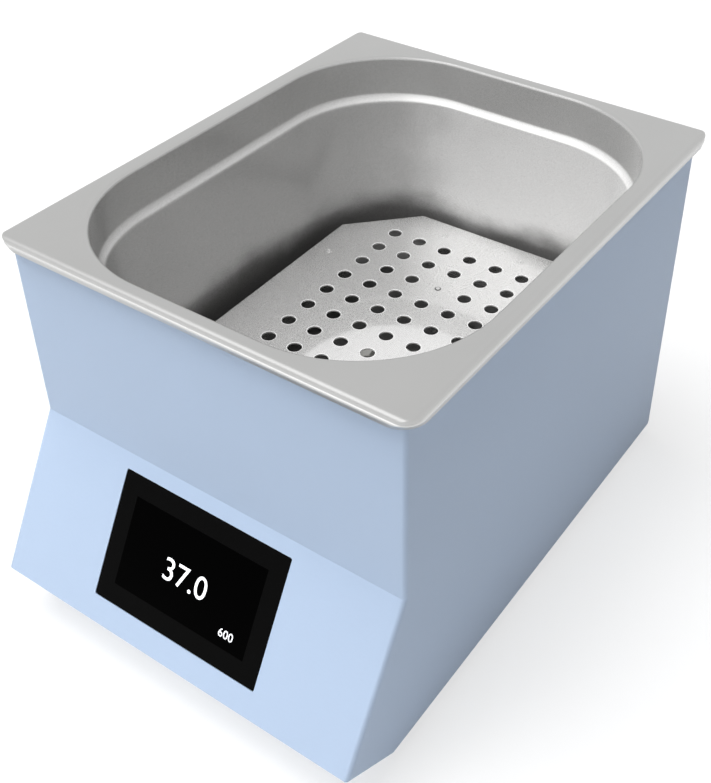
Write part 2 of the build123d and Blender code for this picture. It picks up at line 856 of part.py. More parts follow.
m3_hex = hex_nut(m3_radius, m3_flats, m3_nut)
with BuildPart(cutout_plane.offset(-cutout_strap_drop - cutout_strap - m3_nut)) as cutout_nuts:
    with Locations((cutout_ear, 0), (-cutout_ear, 0)):
        add(m3_hex)
cutout_nuts.part.label = "cutout_nuts"
export_step(cutout_nuts.part, "parts/cutout_nuts.step")

# Where the screws go: the returns round the open back and bottom, and the base plate
base_span = shell_rear_y - base_y
case_height = case_top - case_bottom
return_screw_x = case_width / 2 - return_width / 2
rear_plane = Plane(origin=(0, rear_y, case_bottom), x_dir=(-1, 0, 0), z_dir=(0, 1, 0))
base_plane = Plane(origin=(0, base_middle_y, foot_height), x_dir=(1, 0, 0), z_dir=(0, 0, -1))
rear_screw_spots = [
    (side * return_screw_x, height)
    for side in (-1, 1)
    for height in (screw_margin, case_height / 2, case_height - screw_margin)
] + [(side * case_width / 4, return_width / 2) for side in (-1, 1)]
base_screw_spots = [
    (side * return_screw_x, place)
    for side in (-1, 1)
    for place in (-base_span / 2 + 3 * return_width, 0, base_span / 2 - 3 * return_width)
] + [(0, side * (base_span - return_width) / 2) for side in (-1, 1)]
foot_x = case_width / 2 - foot_inset
foot_reach = base_span / 2 - foot_inset
foot_spots = [(side * foot_x, end * foot_reach) for side in (-1, 1) for end in (-1, 1)]

# The board and the relay stand in a row behind the front feet, the supply between the rear
# feet and the inlet's side of the drive
front_row_y = base_middle_y - foot_reach + front_row_gap
board_x = -(relay_gap + relay_width) / 2
board_y = front_row_y + board_length / 2
relay_x = (board_width + relay_gap) / 2
relay_y = front_row_y + relay_length / 2
supply_x = supply_foot_gap + supply_width / 2 - foot_x
supply_y = rear_y - supply_rear_gap - supply_length / 2
inlet_x = case_width / 2 - inlet_side_gap
inlet_z = case_bottom + inlet_rise
switch_x = inlet_x - switch_spacing
earth_x = inlet_x - earth_spacing
earth_y = rear_y - earth_rear_gap
vent_x = vent_side_gap - case_width / 2
vent_z = case_bottom + vent_rise
bridge_spots = [
    (side * bridge_screw_x, pan_y + end * bridge_screw_pitch / 2) for side in (-1, 1) for end in (-1, 1)
]
relay_spots = [(relay_x, relay_y + end * relay_screw_pitch / 2) for end in (-1, 1)]
supply_spots = [
    (supply_x + side * supply_screw_pitch / 2, supply_y + end * (supply_length + supply_tab) / 2)
    for side in (-1, 1)
    for end in (-1, 1)
]
standoff_spots = [
    (
        board_x + side * (board_width / 2 - board_hole_inset),
        board_y + end * (board_length / 2 - board_hole_inset),
    )
    for side in (-1, 1)
    for end in (-1, 1)
]
earth_spot = (earth_x, earth_y)

# Display: glass, lit panel and board stand in a frame behind the slope
display_drop = glass_below_fold + glass_height / 2
display_plane = Plane(
    origin=slant_plane.from_local_coords((0, -display_drop, 0)), x_dir=(1, 0, 0), z_dir=slant_normal
)
stud_x = glass_width / 2 + loose_gap + frame_border / 2
stud_y = glass_height / 2 - frame_border
frame_depth = glass_thickness + frame_lip
display_stud_spots = [(side * stud_x, end * stud_y) for side in (-1, 1) for end in (-1, 1)]
panel_width = lit_width + 2 * panel_border
panel_height = lit_height + 2 * panel_border

with BuildPart() as case_shell:
    add(case_block(0))
    add(case_block(case_sheet), mode=Mode.SUBTRACT)
    with BuildSketch(pan_plane):
        RectangleRounded(
            opening_width + 2 * (pan_sheet + window_gap),
            opening_length + 2 * (pan_sheet + window_gap),
            opening_corner + pan_sheet + window_gap,
        )
        with GridLocations(stud_pitch_x, stud_pitch_y, 2, 2):
            Circle(m5_radius + bore_gap)
    extrude(amount=case_top - 2 * case_sheet - flange_top, mode=Mode.SUBTRACT)
    with BuildSketch(rear_plane):
        with Locations((0, case_height / 2)):
            Rectangle(case_width - 2 * return_width, case_height - 2 * return_width)
        with Locations(*rear_screw_spots):
            Circle(m4_radius + bore_gap)
    extrude(amount=-panel_sheet - 2 * case_sheet, mode=Mode.SUBTRACT)
    with BuildSketch(base_plane):
        Rectangle(case_width - 2 * return_width, base_span - 2 * return_width)
        with Locations(*base_screw_spots):
            Circle(m4_radius + bore_gap)
    extrude(amount=-base_sheet - 2 * case_sheet, mode=Mode.SUBTRACT)
    with BuildSketch(display_plane):
        RectangleRounded(
            glass_width + 2 * loose_gap, glass_height + 2 * loose_gap, glass_corner + loose_gap
        )
    extrude(amount=-2 * case_sheet, mode=Mode.SUBTRACT)
case_shell.part.label = "case_shell"
export_step(case_shell.part, "parts/case_shell.step")

with BuildPart() as rear_panel:
    with BuildSketch(rear_plane):
        with Locations((0, (case_height + panel_inset) / 2)):
            Rectangle(case_width - 2 * panel_inset, case_height - panel_inset)
        with Locations(*rear_screw_spots):
            Circle(m4_radius + bore_gap, mode=Mode.SUBTRACT)
        with Locations((-inlet_x, inlet_z - case_bottom)):
            Rectangle(inlet_width + loose_gap, inlet_height + loose_gap, mode=Mode.SUBTRACT)
            with GridLocations(inlet_screw_pitch, 0, 2, 1):
                Circle(m3_radius + bore_gap, mode=Mode.SUBTRACT)
        with Locations((-switch_x, inlet_z - case_bottom)):
            Rectangle(switch_width + loose_gap, switch_height + loose_gap, mode=Mode.SUBTRACT)
        with Locations((-vent_x, vent_z - case_bottom)):
            with GridLocations(vent_pitch, 0, vent_count, 1):
                SlotOverall(vent_length, vent_width, rotation=90, mode=Mode.SUBTRACT)
    extrude(amount=-panel_sheet)
rear_panel.part.label = "rear_panel"
export_step(rear_panel.part, "parts/rear_panel.step")

with BuildPart(rear_plane) as rear_screws:
    with Locations(*rear_screw_spots):
        add(m4_screw)
rear_screws.part.label = "rear_screws"
export_step(rear_screws.part, "parts/rear_screws.step")

with BuildPart() as base_plate:
    with BuildSketch(base_plane):
        RectangleRounded(case_width - 2 * base_inset, base_span - 2 * base_inset, side_bend)
        with Locations(*base_screw_spots, *foot_spots):
            Circle(m4_radius + bore_gap, mode=Mode.SUBTRACT)
    extrude(amount=-base_sheet)
    with BuildSketch(inside_plane):
        with Locations(*bridge_spots, *relay_spots, *supply_spots, *standoff_spots, earth_spot):
            Circle(m4_radius + bore_gap)
    extrude(amount=-base_sheet, mode=Mode.SUBTRACT)
base_plate.part.label = "base_plate"
export_step(base_plate.part, "parts/base_plate.step")

with BuildPart(base_plane) as base_screws:
    with Locations(*base_screw_spots):
        add(m4_screw)
base_screws.part.label = "base_screws"
export_step(base_screws.part, "parts/base_screws.step")

with BuildPart(base_plane) as feet:
    with Locations(*foot_spots):
        Cone(
            foot_radius,
            foot_radius - foot_draft,
            foot_height,
            align=(Align.CENTER, Align.CENTER, Align.MIN),
        )
        Hole(m4_radius + bore_gap)
    with Locations(*[(*spot, foot_height) for spot in foot_spots]):
        Cylinder(
            foot_seat_radius,
            foot_seat,
            align=(Align.CENTER, Align.CENTER, Align.MAX),
            mode=Mode.SUBTRACT,
        )
feet.part.label = "feet"
export_step(feet.part, "parts/feet.step")

foot_screw = pan_screw(m4_radius, foot_screw_length)
with BuildPart(base_plane.offset(foot_height - foot_seat)) as foot_screws:
    with Locations(*foot_spots):
        add(foot_screw)
foot_screws.part.label = "foot_screws"
export_step(foot_screws.part, "parts/foot_screws.step")

m4_hex = hex_nut(m4_radius, m4_flats, m4_nut)
with BuildPart(base_plane.offset(-base_sheet - m4_nut)) as foot_nuts:
    with Locations(*foot_spots):
        add(m4_hex)
foot_nuts.part.label = "foot_nuts"
export_step(foot_nuts.part, "parts/foot_nuts.step")

with BuildPart() as display_glass:
    with BuildSketch(display_plane):
        RectangleRounded(glass_width, glass_height, glass_corner)
    extrude(amount=-glass_thickness)
display_glass.part.label = "display_glass"
export_step(display_glass.part, "parts/display_glass.step")

with BuildPart() as display_panel:
    with BuildSketch(display_plane.offset(-glass_thickness)):
        Rectangle(panel_width, panel_height)
    extrude(amount=-panel_thickness)
display_panel.part.label = "display_panel"
export_step(display_panel.part, "parts/display_panel.step")

display_back = display_plane.offset(-glass_thickness - panel_thickness)
ribbon_drop = panel_height / 2 - ribbon_width / 2
with BuildPart(display_back) as display_board:
    with BuildSketch(display_back):
        Rectangle(panel_width, panel_height)
    extrude(amount=-display_board_thickness)
    with BuildSketch(display_back.offset(-display_board_thickness)):
        with Locations((0, -ribbon_drop)):
            Rectangle(ribbon_width + 2 * display_chip_height, 2 * display_chip_height)
        with GridLocations(panel_width / 3, 0, 3, 1):
            Rectangle(ribbon_width / 2, ribbon_width / 2)
    extrude(amount=-display_chip_height)
display_board.part.label = "display_board"
export_step(display_board.part, "parts/display_board.step")

with BuildPart() as display_frame:
    with BuildSketch(display_plane.offset(-case_sheet)):
        Rectangle(
            glass_width + 2 * loose_gap + 2 * frame_border, glass_height + 2 * loose_gap + 2 * frame_border
        )
        with Locations(*display_stud_spots):
            Circle(m3_radius + bore_gap, mode=Mode.SUBTRACT)
    extrude(amount=case_sheet - frame_depth)
    with BuildSketch(display_plane.offset(-glass_thickness)):
        Rectangle(glass_width + 2 * loose_gap, glass_height + 2 * loose_gap)
    extrude(amount=glass_thickness, mode=Mode.SUBTRACT)
    with BuildSketch(display_plane.offset(-glass_thickness)):
        Rectangle(panel_width + 2 * loose_gap, panel_height + 2 * loose_gap)
    extrude(amount=-frame_depth, mode=Mode.SUBTRACT)
display_frame.part.label = "display_frame"
export_step(display_frame.part, "parts/display_frame.step")

with BuildPart(display_plane.offset(-case_sheet)) as display_studs:
    with Locations(*display_stud_spots):
        Cylinder(m3_radius, display_stud_length, align=(Align.CENTER, Align.CENTER, Align.MAX))
display_studs.part.label = "display_studs"
export_step(display_studs.part, "parts/display_studs.step")

with BuildPart(display_plane.offset(-frame_depth - m3_nut)) as display_nuts:
    with Locations(*display_stud_spots):
        add(m3_hex)
display_nuts.part.label = "display_nuts"
export_step(display_nuts.part, "parts/display_nuts.step")

# Control board on standoffs, with its parts and connectors
board_plane = Plane(origin=(board_x, board_y, case_bottom + standoff_height))
board_top = board_plane.offset(board_thickness)
ribbon_y = board_y - board_length / 2 + 2 * board_hole_inset
header_y = board_y + board_length / 2 - header_depth / 2
header_top = case_bottom + standoff_height + board_thickness + header_height

with BuildPart() as control_board:
    with BuildSketch(board_plane):
        RectangleRounded(board_width, board_length, m4_radius)
        with GridLocations(
            board_width - 2 * board_hole_inset, board_length - 2 * board_hole_inset, 2, 2
        ):
            Circle(m3_radius + bore_gap, mode=Mode.SUBTRACT)
    extrude(amount=board_thickness)
control_board.part.label = "control_board"
export_step(control_board.part, "parts/control_board.step")

with BuildPart(inside_plane) as board_standoffs:
    with Locations(*standoff_spots):
        Cylinder(m4_radius, base_sheet, align=(Align.CENTER, Align.CENTER, Align.MAX))
        Cylinder(standoff_radius, standoff_height, align=(Align.CENTER, Align.CENTER, Align.MIN))
        Hole(m3_radius + running_gap)
board_standoffs.part.label = "board_standoffs"
export_step(board_standoffs.part, "parts/board_standoffs.step")

with BuildPart(Plane(origin=(0, 0, case_bottom + standoff_height + board_thickness))) as board_screws:
    with Locations(*standoff_spots):
        add(m3_screw)
board_screws.part.label = "board_screws"
export_step(board_screws.part, "parts/board_screws.step")

with BuildPart() as board_connectors:
    with BuildSketch(board_top):
        with Locations((-board_x, ribbon_y - board_y)):
            Rectangle(ribbon_width + header_depth, header_depth)
        with Locations((-board_x, header_y - board_y)):
            Rectangle(header_width, header_depth)
        with Locations((-board_width / 4, header_y - board_y)):
            Rectangle(3 * header_width, header_depth)
    extrude(amount=header_height)
board_connectors.part.label = "board_connectors"
export_step(board_connectors.part, "parts/board_connectors.step")

with BuildPart(board_top) as board_parts:
    with Locations((-board_width / 4, 0)):
        Box(
            transformer_width,
            transformer_width,
            transformer_height,
            align=(Align.CENTER, Align.CENTER, Align.MIN),
        )
    with Locations((board_width / 8, -board_length / 6)):
        with GridLocations(relay_can_pitch, 0, 2, 1):
            Box(relay_can, relay_can, relay_can, align=(Align.CENTER, Align.CENTER, Align.MIN))
    with Locations((0, board_length / 6)):
        with GridLocations(capacitor_pitch, 0, 3, 1):
            Cylinder(
                capacitor_radius, capacitor_height, align=(Align.CENTER, Align.CENTER, Align.MIN)
            )
    with Locations((board_width / 3, board_length / 8)):
        Box(chip_width, chip_width, chip_height, align=(Align.CENTER, Align.CENTER, Align.MIN))
board_parts.part.label = "board_parts"
export_step(board_parts.part, "parts/board_parts.step")

# Relay and power supply on the base plate
relay_plane = Plane(origin=(relay_x, relay_y, case_bottom))
with BuildPart(relay_plane) as solid_state_relay:
    Box(relay_width, relay_length, relay_flange, align=(Align.CENTER, Align.CENTER, Align.MIN))
    Box(relay_width, relay_body_length, relay_height, align=(Align.CENTER, Align.CENTER, Align.MIN))
    with GridLocations(0, relay_screw_pitch, 1, 2):
        Hole(m4_radius + bore_gap)
solid_state_relay.part.label = "solid_state_relay"
export_step(solid_state_relay.part, "parts/solid_state_relay.step")

supply_plane = Plane(origin=(supply_x, supply_y, case_bottom))
with BuildPart(supply_plane) as power_supply:
    Box(supply_width, supply_length, supply_height, align=(Align.CENTER, Align.CENTER, Align.MIN))
    Box(
        supply_width,
        supply_length + 2 * supply_tab,
        supply_tab_sheet,
        align=(Align.CENTER, Align.CENTER, Align.MIN),
    )
    with Locations((supply_width / 2, 0, supply_terminal_rise)):
        Box(
            supply_terminal,
            supply_terminal_length,
            supply_terminal_height,
            align=(Align.MIN, Align.CENTER, Align.MIN),
        )
    with GridLocations(supply_screw_pitch, supply_length + supply_tab, 2, 2):
        Hole(m4_radius + bore_gap)
power_supply.part.label = "power_supply"
export_step(power_supply.part, "parts/power_supply.step")

with BuildPart(inside_plane.offset(bridge_sheet)) as module_screws:
    with Locations(*bridge_spots, *relay_spots, *supply_spots):
        add(m4_screw)
module_screws.part.label = "module_screws"
export_step(module_screws.part, "parts/module_screws.step")

with BuildPart(Plane(origin=(earth_x, earth_y, foot_height))) as earth_stud:
    Cylinder(m4_radius, earth_stud_length, align=(Align.CENTER, Align.CENTER, Align.MIN))
    with Locations((0, 0, base_sheet)):
        add(m4_hex)
earth_stud.part.label = "earth_stud"
export_step(earth_stud.part, "parts/earth_stud.step")

# Mains inlet with its pins, screws, drawer and fuses
inlet_plane = Plane(origin=(inlet_x, rear_y, inlet_z), x_dir=(-1, 0, 0), z_dir=(0, 1, 0))
inlet_front = inlet_plane.offset(inlet_flange)
pin_spots = [
    (0, socket_rise + pin_high),
    (pin_spread, socket_rise - pin_low),
    (-pin_spread, socket_rise - pin_low),
]
with BuildPart() as mains_inlet:
    with BuildSketch(inlet_plane):
        Rectangle(inlet_width, inlet_height)
    extrude(amount=-inlet_depth)
    with BuildSketch(inlet_plane):
        RectangleRounded(inlet_flange_width, inlet_flange_height, m5_radius)
    extrude(amount=inlet_flange)
    with BuildSketch(inlet_front) as socket:
        with Locations((0, socket_rise)):
            Rectangle(socket_width, socket_height)
        upper = socket.vertices().group_by(Axis.Z)[-1]
        chamfer(upper, socket_corner)
    extrude(amount=-socket_depth, mode=Mode.SUBTRACT)
    with BuildSketch(inlet_front):
        with Locations(*pin_spots):
            Rectangle(pin_width + 2 * fit_gap, pin_height + 2 * fit_gap)
        with GridLocations(inlet_screw_pitch, 0, 2, 1):
            Circle(m3_radius + bore_gap)
    extrude(amount=-inlet_depth - inlet_flange, mode=Mode.SUBTRACT)
    with BuildSketch(inlet_front):
        with Locations((0, -drawer_drop)):
            Rectangle(drawer_width + 2 * loose_gap, drawer_height + 2 * loose_gap)
    extrude(amount=-drawer_depth - loose_gap, mode=Mode.SUBTRACT)
mains_inlet.part.label = "mains_inlet"
export_step(mains_inlet.part, "parts/mains_inlet.step")

with BuildPart() as inlet_pins:
    with BuildSketch(inlet_front.offset(-pin_recess)):
        with Locations(*pin_spots):
            Rectangle(pin_width, pin_height)
    extrude(amount=-pin_length)
inlet_pins.part.label = "inlet_pins"
export_step(inlet_pins.part, "parts/inlet_pins.step")

with BuildPart(inlet_front) as inlet_screws:
    with GridLocations(inlet_screw_pitch, 0, 2, 1):
        add(m3_screw)
inlet_screws.part.label = "inlet_screws"
export_step(inlet_screws.part, "parts/inlet_screws.step")

drawer_plane = Plane(
    origin=inlet_front.from_local_coords((0, -drawer_drop, loose_gap)), x_dir=(-1, 0, 0), z_dir=(0, 1, 0)
)
with BuildPart() as fuse_drawer:
    with BuildSketch(drawer_plane):
        Rectangle(drawer_width, drawer_height)
    extrude(amount=-drawer_depth)
    with BuildSketch(drawer_plane):
        Rectangle(drawer_width + 2 * drawer_front, drawer_height + drawer_front)
    extrude(amount=drawer_front)
    with BuildSketch(drawer_plane.offset(-drawer_depth)):
        with GridLocations(2 * fuse_spread, 0, 2, 1):
            Circle(fuse_radius + fit_gap)
    extrude(amount=fuse_length, mode=Mode.SUBTRACT)
fuse_drawer.part.label = "fuse_drawer"
export_step(fuse_drawer.part, "parts/fuse_drawer.step")

with BuildPart() as fuses:
    with BuildSketch(drawer_plane.offset(-drawer_depth)):
        with GridLocations(2 * fuse_spread, 0, 2, 1):
            Circle(fuse_radius)
    extrude(amount=fuse_length)
fuses.part.label = "fuses"
export_step(fuses.part, "parts/fuses.step")

# Power switch: a rocker on stub pins in its frame
switch_plane = Plane(origin=(switch_x, rear_y, inlet_z), x_dir=(-1, 0, 0), z_dir=(0, 1, 0))
pivot = switch_plane.from_local_coords((0, 0, -rocker_pivot_depth))
pivot_plane = Plane(origin=pivot, x_dir=(0, 1, 0), z_dir=(1, 0, 0))
tilt = radians(rocker_tilt)
rocker_plane = Plane(origin=pivot, x_dir=(0, cos(tilt), sin(tilt)), z_dir=(1, 0, 0))
rocker_front = rocker_pivot_depth + bezel_front + rocker_proud
with BuildPart() as switch_frame:
    with BuildSketch(switch_plane):
        Rectangle(switch_width, switch_height)
    extrude(amount=-switch_depth)
    with BuildSketch(switch_plane):
        Rectangle(bezel_width, bezel_height)
    extrude(amount=bezel_front)
    with BuildSketch(switch_plane.offset(bezel_front)):
        Rectangle(rocker_width + 2 * loose_gap, rocker_room)
    extrude(amount=-bezel_front - rocker_room_depth, mode=Mode.SUBTRACT)
    with BuildSketch(pivot_plane):
        Circle(rocker_pin_radius + running_gap)
    extrude(amount=switch_width, both=True, mode=Mode.SUBTRACT)
    with BuildSketch(switch_plane.offset(-switch_depth)):
        with GridLocations(0, tab_pitch, 1, 2):
            Rectangle(tab_width, tab_sheet)
    extrude(amount=-tab_length)
switch_frame.part.label = "switch_frame"
export_step(switch_frame.part, "parts/switch_frame.step")

with BuildPart() as switch_rocker:
    with BuildSketch(rocker_plane):
        Polygon(
            (rocker_front, rocker_height / 2),
            (rocker_front - rocker_valley, 0),
            (rocker_front, -rocker_height / 2),
            (-rocker_shoulder, -rocker_height / 2),
            (-rocker_belly, -rocker_belly_height / 2),
            (-rocker_belly, rocker_belly_height / 2),
            (-rocker_shoulder, rocker_height / 2),
            align=None,
        )
    extrude(amount=rocker_width / 2, both=True)
    with BuildSketch(pivot_plane):
        Circle(rocker_pin_radius)
    extrude(amount=switch_width / 2 - loose_gap, both=True)
switch_rocker.part.label = "switch_rocker"
export_step(switch_rocker.part, "parts/switch_rocker.step")

# Ribbon from the display's board down to the control board
ribbon_start = display_plane.from_local_coords(
    (0, -ribbon_drop, -glass_thickness - panel_thickness - display_board_thickness - display_chip_height)
)
ribbon_out = ribbon_start - Vector(*slant_normal) * ribbon_lead
with BuildPart() as display_ribbon:
    with BuildSketch(Plane.YZ):
        with BuildLine():
            ribbon_run = FilletPolyline(
                (ribbon_start.Y, ribbon_start.Z),
                (ribbon_out.Y, ribbon_out.Z),
                (ribbon_y, header_top + 2 * ribbon_bend),
                (ribbon_y, header_top),
                radius=ribbon_bend,
            )
            offset(ribbon_run, amount=ribbon_thickness, side=Side.LEFT, closed=True)
        make_face()
    extrude(amount=ribbon_width / 2, both=True)
display_ribbon.part.label = "display_ribbon"
export_step(display_ribbon.part, "parts/display_ribbon.step")


def lead(points, radius):
    """A sheathed lead along the points, with each arc as large as its two runs allow."""
    knots = [Vector(*point) for point in points]
    runs = [after - before for before, after in zip(knots, knots[1:])]
    bends = [
        bend_share * min(first.length, second.length) / tan(radians(first.get_angle(second)) / 2)
        for first, second in zip(runs, runs[1:])
    ]
    with BuildPart() as tube:
        with BuildLine() as route:
            FilletPolyline(*points, radius=bends)
        with BuildSketch(Plane(origin=points[0], z_dir=runs[0])):
            Circle(radius)
        sweep(path=route.wires()[0])
    straight_volume = pi * radius**2 * route.wires()[0].length
    print("lead radii", [round(bend, 1) for bend in bends])
    print("lead volume over section times length", round(tube.part.volume / straight_volume, 4))
    return tube.part


motor_exit = motor_bottom + motor_lead_radius * 3
header_middle = header_top - header_height / 2
motor_lead_path = [
    (0, pan_y - motor_radius, motor_exit),
    (0, pan_y - motor_radius - 9, motor_exit),
    (0, header_y + header_depth / 2 + 10, header_middle),
    (0, header_y + header_depth / 2, header_middle),
]
motor_tube = lead(motor_lead_path, motor_lead_radius)
with BuildPart() as motor_lead:
    add(motor_tube)
motor_lead.part.label = "motor_lead"
export_step(motor_lead.part, "parts/motor_lead.step")

terminal_front = terminal_y - terminal_length / 2
terminal_middle = pan_bottom - heater_sheet - terminal_height / 2
relay_top = case_bottom + relay_height
heater_lead_path = [
    (terminal_x, terminal_front, terminal_middle),
    (terminal_x, terminal_front - 11, terminal_middle),
    (terminal_x + 4, terminal_front - 22, terminal_middle - 7),
    (terminal_x + 11, terminal_front - 30, terminal_middle - 22),
    (relay_x, terminal_front - 33, relay_top + 14),
    (relay_x, terminal_front - 33, relay_top),
]
heater_tube = lead(heater_lead_path, heater_lead_radius)
with BuildPart() as heater_lead:
    add(heater_tube)
heater_lead.part.label = "heater_lead"
export_step(heater_lead.part, "parts/heater_lead.step")

supply_face = supply_x + supply_width / 2 + supply_terminal
inlet_back = rear_y - inlet_depth
mains_lead_path = [
    (inlet_x, inlet_back, inlet_z - drawer_drop),
    (inlet_x, inlet_back - 17, inlet_z - drawer_drop),
    (inlet_x - 9, inlet_back - 34, inlet_z - drawer_drop - 6),
    (inlet_x - 29, supply_y, inlet_z - drawer_drop - 14),
    (supply_face + 21, supply_y - 2, case_bottom + supply_height / 2),
    (supply_face, supply_y - 2, case_bottom + supply_height / 2),
]
mains_tube = lead(mains_lead_path, mains_lead_radius)
with BuildPart() as mains_lead:
    add(mains_tube)
mains_lead.part.label = "mains_lead"
export_step(mains_lead.part, "parts/mains_lead.step")
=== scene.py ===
"""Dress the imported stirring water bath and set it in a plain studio.

A stainless pan with a broad flange hangs in a folded, light blue case. A perforated shelf
lies in the pan and a black glass display lies in the case's slope. Metres, in the frame of
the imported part: +Z is up, the display faces -Y, and +X is the user's right.
"""

import json
import logging
import math
from dataclasses import dataclass, field
from enum import Enum

import bmesh
import bpy
from mathutils import Matrix, Vector

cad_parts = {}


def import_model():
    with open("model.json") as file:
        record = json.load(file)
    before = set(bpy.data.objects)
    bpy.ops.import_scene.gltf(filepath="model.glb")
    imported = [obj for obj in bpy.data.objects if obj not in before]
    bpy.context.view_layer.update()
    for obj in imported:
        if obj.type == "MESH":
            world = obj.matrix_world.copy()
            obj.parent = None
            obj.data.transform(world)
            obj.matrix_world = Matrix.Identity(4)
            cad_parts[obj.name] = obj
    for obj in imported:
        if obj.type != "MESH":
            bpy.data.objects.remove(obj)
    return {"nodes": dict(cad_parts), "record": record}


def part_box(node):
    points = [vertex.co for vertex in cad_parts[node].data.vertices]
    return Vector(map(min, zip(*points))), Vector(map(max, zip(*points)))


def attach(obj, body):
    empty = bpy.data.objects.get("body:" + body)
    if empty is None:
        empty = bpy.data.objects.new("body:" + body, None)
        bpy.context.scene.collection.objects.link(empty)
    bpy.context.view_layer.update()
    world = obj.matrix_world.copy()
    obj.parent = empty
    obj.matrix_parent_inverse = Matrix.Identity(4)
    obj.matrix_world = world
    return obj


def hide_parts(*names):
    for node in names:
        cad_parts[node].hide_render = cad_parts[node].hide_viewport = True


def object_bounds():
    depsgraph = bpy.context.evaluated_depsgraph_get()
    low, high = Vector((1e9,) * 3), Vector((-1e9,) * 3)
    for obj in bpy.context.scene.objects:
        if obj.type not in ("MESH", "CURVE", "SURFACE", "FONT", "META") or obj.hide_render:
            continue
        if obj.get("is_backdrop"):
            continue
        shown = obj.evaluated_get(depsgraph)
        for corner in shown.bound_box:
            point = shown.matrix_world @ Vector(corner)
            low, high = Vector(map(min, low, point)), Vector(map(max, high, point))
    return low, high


log = logging.getLogger("water_bath")

Colour = tuple[float, float, float]
Point = tuple[float, float]
SCREW_EDGE = 0.0001
FINE_EDGE = 0.0002
WIDE_EDGE = 0.0004


class Body(Enum):
    """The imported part's bodies that carry pieces made here."""

    BATH = "bath"
    SHELF = "shelf"
    DRAWER = "drawer"
    ROCKER = "rocker"


class Slot(Enum):
    """The record's material slots that pieces made here take their finish from."""

    STAINLESS = "stainless"
    ZINC = "zinc_steel"
    PAINT = "case_paint"
    GLASS = "display_glass"
    WHITE = "white_plastic"
    BLACK = "black_plastic"
    FEET = "foot_rubber"


class Signal:
    """A shader value that turns Python arithmetic into Math nodes."""

    def __init__(self, graph: "Graph", socket: bpy.types.NodeSocket) -> None:
        """Wrap an output socket of a graph's node."""
        self.graph = graph
        self.socket = socket

    def maths(self, operation: str, *values: "Signal | float", clamp: bool = False) -> "Signal":
        """Add a Math node.

        Args:
            operation: The node's operation.
            values: What feeds its inputs, in order.
            clamp: Whether the result is kept from 0 to 1.

        Returns:
            The node's result.
        """
        settings = {"operation": operation, "use_clamp": clamp}
        node = self.graph.node("ShaderNodeMath", settings, dict(enumerate(values)))
        return Signal(self.graph, node.outputs[0])

    def __add__(self, other: "Signal | float") -> "Signal":
        """Add."""
        return self.maths("ADD", self, other)

    def __sub__(self, other: "Signal | float") -> "Signal":
        """Subtract."""
        return self.maths("SUBTRACT", self, other)

    def __rsub__(self, other: float) -> "Signal":
        """Subtract from a number."""
        return self.maths("SUBTRACT", other, self)

    def __mul__(self, other: "Signal | float") -> "Signal":
        """Multiply."""
        return self.maths("MULTIPLY", self, other)

    def __abs__(self) -> "Signal":
        """Drop the sign."""
        return self.maths("ABSOLUTE", self)

    __radd__ = __add__
    __rmul__ = __mul__

    def ramp(self, low: float, high: float) -> "Signal":
        """Rise smoothly from 0 to 1.

        Args:
            low: The value up to which the result is 0.
            high: The value from which the result is 1.

        Returns:
            The node's result.
        """
        settings = {"interpolation_type": "SMOOTHSTEP"}
        inputs = {"Value": self, "From Min": low, "From Max": high}
        node = self.graph.node("ShaderNodeMapRange", settings, inputs)
        return Signal(self.graph, node.outputs["Result"])


